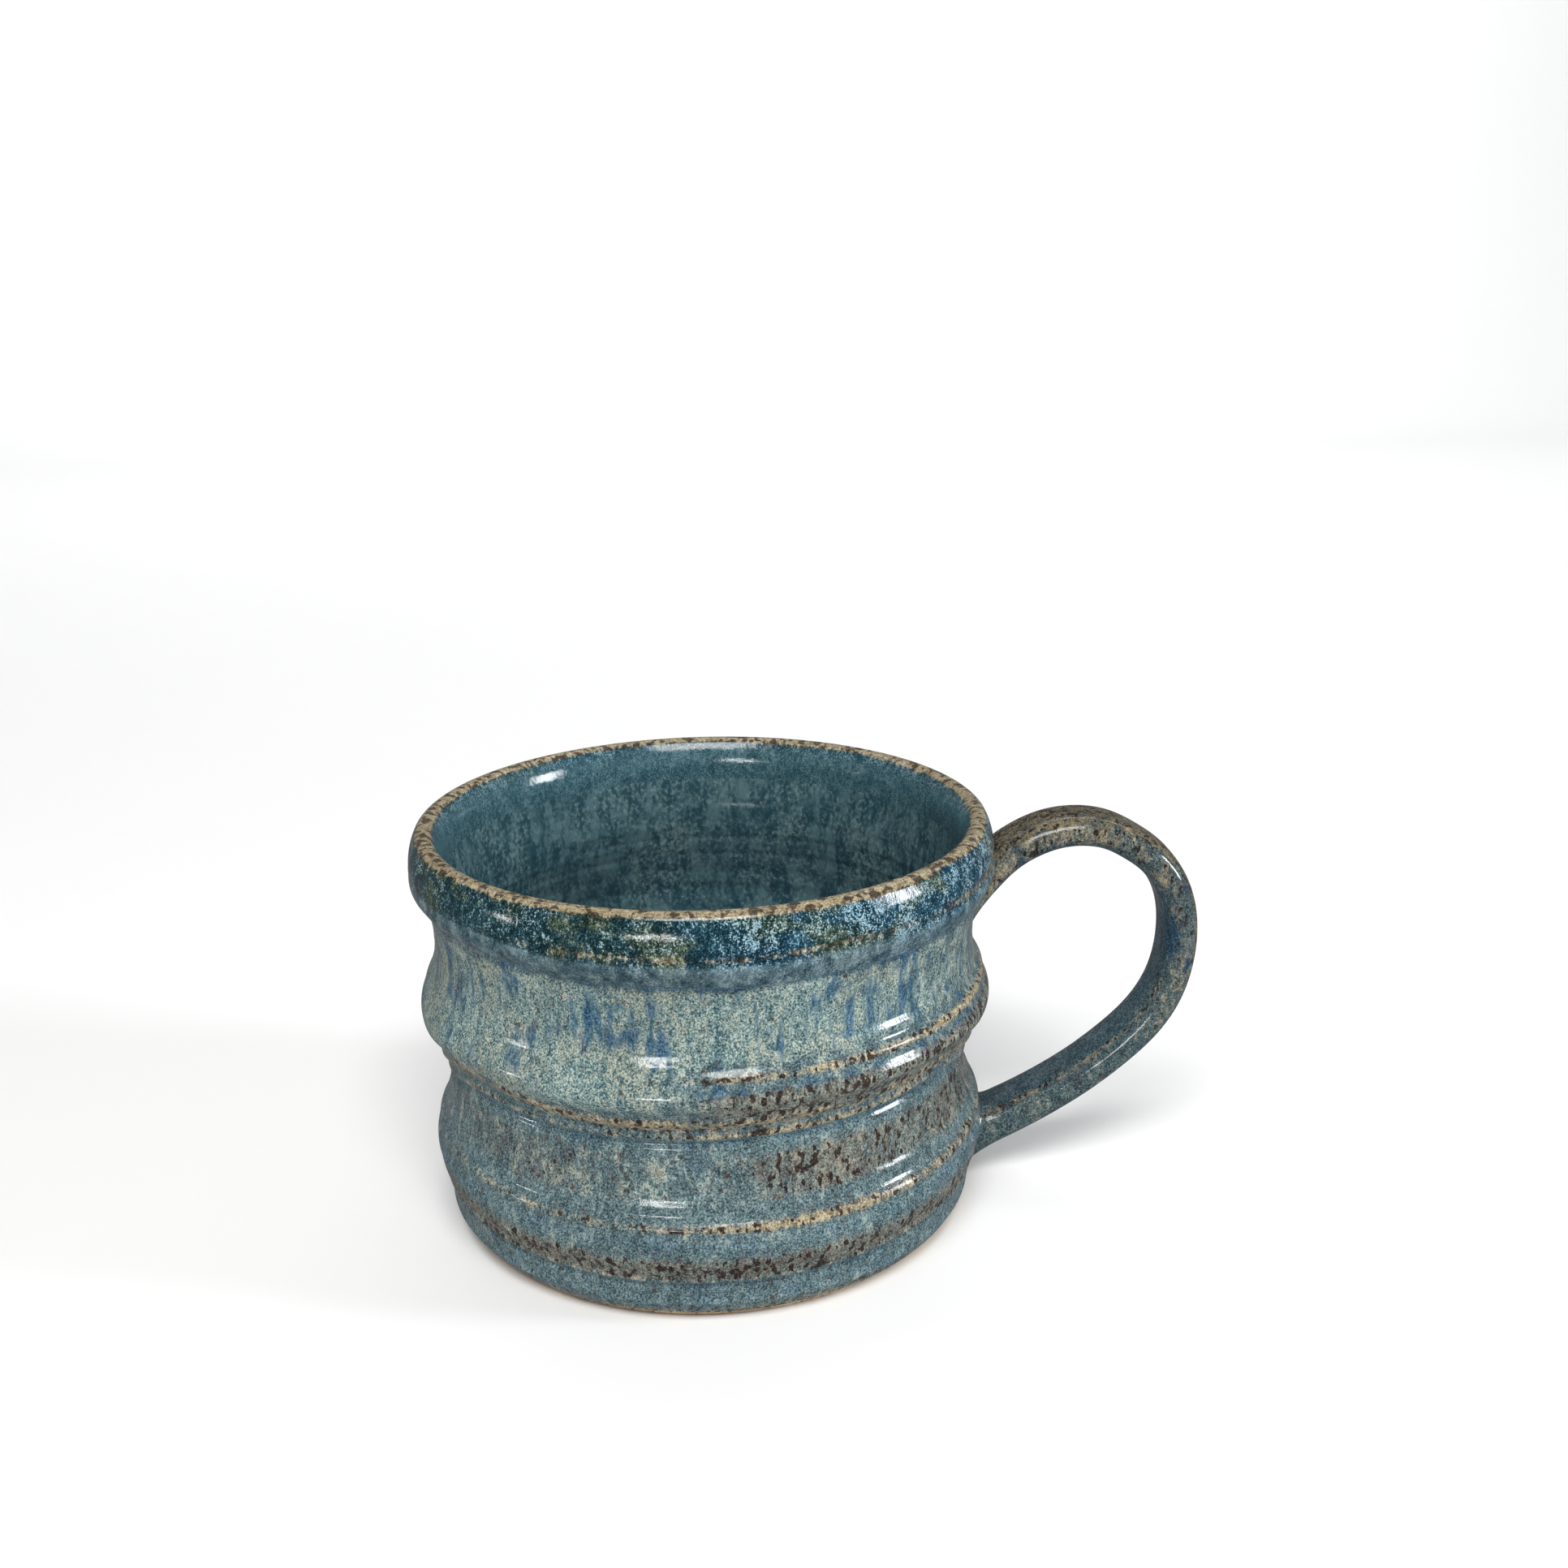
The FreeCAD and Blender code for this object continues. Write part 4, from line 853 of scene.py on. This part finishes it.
def rim_teal(name):
    s = Shader(name)
    thin, inn, cloud, roll_ = s.attr("thin"), s.attr("inn"), s.attr("cream"), s.attr("deep")
    fine = s.noise(3.3, 2, 0.65, (1, 1, 0.9), 2)
    grain = s.noise(1.15, 4, 0.75, (1, 1, 0.75), 1)
    mott = s.noise(0.33, 4, 0.68, (1, 1, 0.8), 5, 0.6)
    patch = s.noise(0.085, 3, 0.6, (1, 1, 1.2), 4)
    v = s.add(s.add(s.mul(fine, 0.45), s.mul(grain, 0.3)), s.mul(mott, 0.25))
    green = s.ramp(v, [(0.41, lin(6, 20, 22)), (0.475, lin(14, 40, 46)), (0.53, lin(34, 66, 74)), (0.6, lin(92, 122, 130))])
    c = s.ramp(v, [(0.41, lin(8, 26, 34)), (0.475, lin(18, 50, 64)), (0.53, lin(40, 80, 100)), (0.6, lin(110, 146, 164))])
    c = s.mix(cloud, green, c)
    ol = s.ramp(v, [(0.41, lin(12, 24, 20)), (0.475, lin(32, 50, 42)), (0.53, lin(72, 84, 64)), (0.6, lin(130, 130, 100))])
    olive = s.step(s.add(s.add(s.mul(patch, 0.7), s.mul(mott, 0.3)), s.mul(cloud, -0.035)), 0.455, 0.55)
    c = s.mix(s.mul(olive, 0.8), c, ol)
    # pale floating crystals, in clouds
    cr = s.step(s.add(s.add(s.mul(fine, 0.4), s.mul(grain, 0.3)), s.add(s.mul(mott, 0.3), s.add(s.mul(s.noise(0.12, 2, 0.5, (1, 1, 1), 11), 0.25), s.mul(cloud, 0.05)))), 0.69, 0.735)
    c = s.mix(s.mul(cr, 0.75), c, s.mix(s.step(fine, 0.45, 0.6), lin(88, 134, 160), lin(160, 184, 190)))
    c = s.mix(s.mul(roll_, 0.72), c, s.ramp(s.add(s.mul(v, 0.6), s.mul(mott, 0.4)), [(0.41, lin(38, 60, 70)), (0.5, lin(82, 102, 110)), (0.6, lin(118, 136, 140))]))
    t_in = s.add(thin, s.add(s.mul(s.math("SUBTRACT", mott, 0.5), 1.0), s.mul(s.math("SUBTRACT", grain, 0.5), 1.0)))
    t = s.step(t_in, 0.3, 0.7)
    tan = s.ramp(s.add(s.mul(fine, 0.5), s.mul(grain, 0.5)), [(0.36, lin(84, 72, 52)), (0.47, lin(132, 120, 94)), (0.56, lin(166, 152, 122)), (0.66, lin(200, 186, 158))])
    c = s.mix(s.mul(t, 0.92), c, tan)
    tick = s.step(s.add(s.mul(s.noise(0.62, 2, 0.55, (1, 1, 0.4), 8, 0.2), 0.86), s.mul(fine, 0.14)), 0.525, 0.57)
    near = s.step(t_in, 0.12, 0.5)
    c = s.mix(s.mul(s.mul(tick, near), 0.84), c, s.mix(s.step(fine, 0.45, 0.62), lin(30, 22, 20), lin(62, 48, 43)))
    inner = s.ramp(v, [(0.38, lin(26, 54, 64)), (0.5, lin(58, 90, 100)), (0.62, lin(104, 132, 138))])
    c = s.mix(s.mul(inn, s.inv(t)), c, inner)
    rough = s.line(grain, 0.3, 0.7, 0.04, 0.1)
    h = s.add(s.add(s.mul(mott, 0.6), s.mul(grain, 0.25)), s.mul(s.noise(0.16, 2, 0.5, (1, 1, 1), 9), 1.2))
    return s.done(c, rough, s.bump(h, 0.11, 1.0), ior=1.52)


def liner_teal(name):
    s = Shader(name)
    grain = s.noise(1.3, 4, 0.62, (1, 1, 0.8), 1)
    mott = s.noise(0.35, 4, 0.6, (1, 1, 0.4), 5, 0.4)
    patch = s.noise(0.06, 3, 0.6, (1, 1, 1), 4)
    z = s.height()
    # darker towards the bottom of the inside
    darker_low = s.step(z, 24.0, 8.0)
    c = s.mix(s.step(s.add(s.mul(grain, 0.4), s.mul(mott, 0.6)), 0.4, 0.6), lin(40, 70, 80), lin(82, 110, 116))
    c = s.mix(s.mul(s.step(s.add(s.mul(grain, 0.6), s.mul(patch, 0.4)), 0.51, 0.64), 0.4), c, lin(134, 156, 154))
    c = s.mix(s.mul(darker_low, 0.5), c, lin(36, 68, 78))
    sp = s.step(s.cells(0.32, (1, 1, 1), 2), 0.12, 0.07)
    c = s.mix(s.mul(sp, 0.6), c, UMBER)
    h = s.add(s.mul(mott, 0.6), s.mul(grain, 0.25))
    return s.done(c, s.line(grain, 0.3, 0.7, 0.1, 0.2), s.bump(h, 0.1, 1.0), ior=1.5)


def clay(name):
    s = Shader(name)
    grain = s.noise(1.6, 4, 0.65, (1, 1, 1), 1)
    fine = s.noise(5.0, 2, 0.6, (1, 1, 1), 2)
    patch = s.noise(0.09, 3, 0.6, (1, 1, 1), 4)
    c = s.mix(s.step(s.add(s.mul(grain, 0.6), s.mul(fine, 0.4)), 0.38, 0.62), lin(140, 112, 80), lin(190, 162, 124))
    c = s.mix(s.mul(s.step(patch, 0.42, 0.62), 0.5), c, lin(206, 184, 152))
    sp = s.high(s.step(s.cells(0.85, (1, 1, 1), 1), 0.3, 0.2), s.step(s.cells(0.36, (1, 1, 1), 2), 0.2, 0.15))
    c = s.mix(s.mul(sp, 0.85), c, IRON)
    c = s.mix(s.mul(s.step(s.noise(0.7, 4, 0.7, (1, 1, 1), 7), 0.56, 0.66), 0.7), c, UMBER)
    h = s.add(s.add(s.mul(grain, 0.5), s.mul(fine, 0.25)), s.mul(sp, -0.3))
    return s.done(c, s.line(grain, 0.3, 0.7, 0.42, 0.62), s.bump(h, 0.12, 1.0), ior=1.5)


mat_blue = blue_glaze("mottled_blue_glaze")
mat_handle_shaded = blue_glaze("mottled_blue_glaze_handle_shaded", True)
mat_rim = rim_teal("dark_teal_rim_glaze")
mat_liner = liner_teal("teal_liner_glaze")
mat_clay = clay("speckled_clay")
for ob, mat in ((glaze_out, mat_blue), (glaze_handle, mat_handle_shaded), (glaze_rim, mat_rim), (glaze_in, mat_liner),
                (clay_cup, mat_clay), (clay_strap, mat_clay), (clay_wad_up, mat_clay), (clay_wad_low, mat_clay)):
    ob.data.materials.append(mat)

PIECES = [
    (glaze_out, "outer_glaze", "mottled_blue_glaze"),
    (glaze_rim, "rim_glaze", "dark_teal_rim_glaze"),
    (glaze_in, "liner_glaze", "teal_liner_glaze"),
    (clay_cup, "thrown_cup", "speckled_clay"),
    (glaze_handle, "handle_glaze", "mottled_blue_glaze"),
    (clay_strap, "handle_strap", "speckled_clay"),
    (clay_wad_up, "upper_joint_wad", "speckled_clay"),
    (clay_wad_low, "lower_joint_pad", "speckled_clay"),
]
for ob, node, slot in PIECES:
    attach(ob, "root")
    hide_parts(node)

# -------------------------------------------------------------------- stage
def plain(name, colour, rough):
    m = bpy.data.materials.new(name)
    m.use_nodes = True
    b = m.node_tree.nodes["Principled BSDF"]
    b.inputs["Base Color"].default_value = colour
    b.inputs["Roughness"].default_value = rough
    b.inputs["Specular IOR Level"].default_value = 0.2
    return m


# a pale sweep: floor, quarter round and back wall in one sheet
prof = [(-1.4, 0.0), (1.3, 0.0)] + [(1.3 + 0.6 * math.sin(t), 0.6 - 0.6 * math.cos(t)) for t in np.linspace(0, math.pi / 2, 25)[1:]] + [(1.9, 2.0)]
me = bpy.data.meshes.new("floor")
vs = [(k * 1.5, y, z - 0.00002) for y, z in prof for k in (-1, 1)]
me.from_pydata(vs, [], [(2 * i, 2 * i + 1, 2 * i + 3, 2 * i + 2) for i in range(len(prof) - 1)])
me.polygons.foreach_set("use_smooth", [True] * len(me.polygons))
floor = bpy.data.objects.new("floor", me)
scene.collection.objects.link(floor)
floor.data.materials.append(plain("pale_floor", (0.88, 0.88, 0.88, 1), 0.7))
# the shiny glaze mirrors the dim room rather than the white sweep, so its edges stay dark
floor.visible_glossy = False


def lamp(name, az, el, dist, size_x, size_y, power, colour=(1, 1, 1), aim=(0, 0, 0.04)):
    d = bpy.data.lights.new(name, "AREA")
    d.shape = "RECTANGLE"
    d.size, d.size_y = size_x, size_y
    d.energy = power
    d.color = colour
    o = bpy.data.objects.new(name, d)
    scene.collection.objects.link(o)
    a, e = math.radians(az), math.radians(el)
    t = Vector(aim)
    p = t + Vector((math.cos(a) * math.cos(e), math.sin(a) * math.cos(e), math.sin(e))) * dist
    q = (t - p).to_track_quat("-Z", "Y")
    o.matrix_world = Matrix.Translation(p) @ q.to_matrix().to_4x4()
    return o


lamp("key", -92, 54, 1.3, 0.8, 0.5, 16.6, (1.0, 0.99, 0.975))
lamp("front_left", -109, 8, 1.4, 0.38, 0.12, 3.6, (1.0, 0.99, 0.97))
lamp("window", -12, 14, 1.4, 0.24, 0.42, 11.5, (0.95, 0.98, 1.0))
lamp("left", -167, 3, 1.4, 0.14, 0.09, 1.3, (1.0, 1.0, 1.0))
lamp("backdrop", -90, 50, 1.4, 2.8, 0.7, 21.0, (1.0, 1.0, 1.0), (0, 1.8, 0.2))
world = bpy.data.worlds.new("studio")
world.use_nodes = True
world.node_tree.nodes["Background"].inputs[0].default_value = (0.92, 0.94, 0.97, 1)
world.node_tree.nodes["Background"].inputs[1].default_value = 0.16
scene.world = world
scene.view_settings.view_transform = "Standard"
scene.view_settings.look = "None"
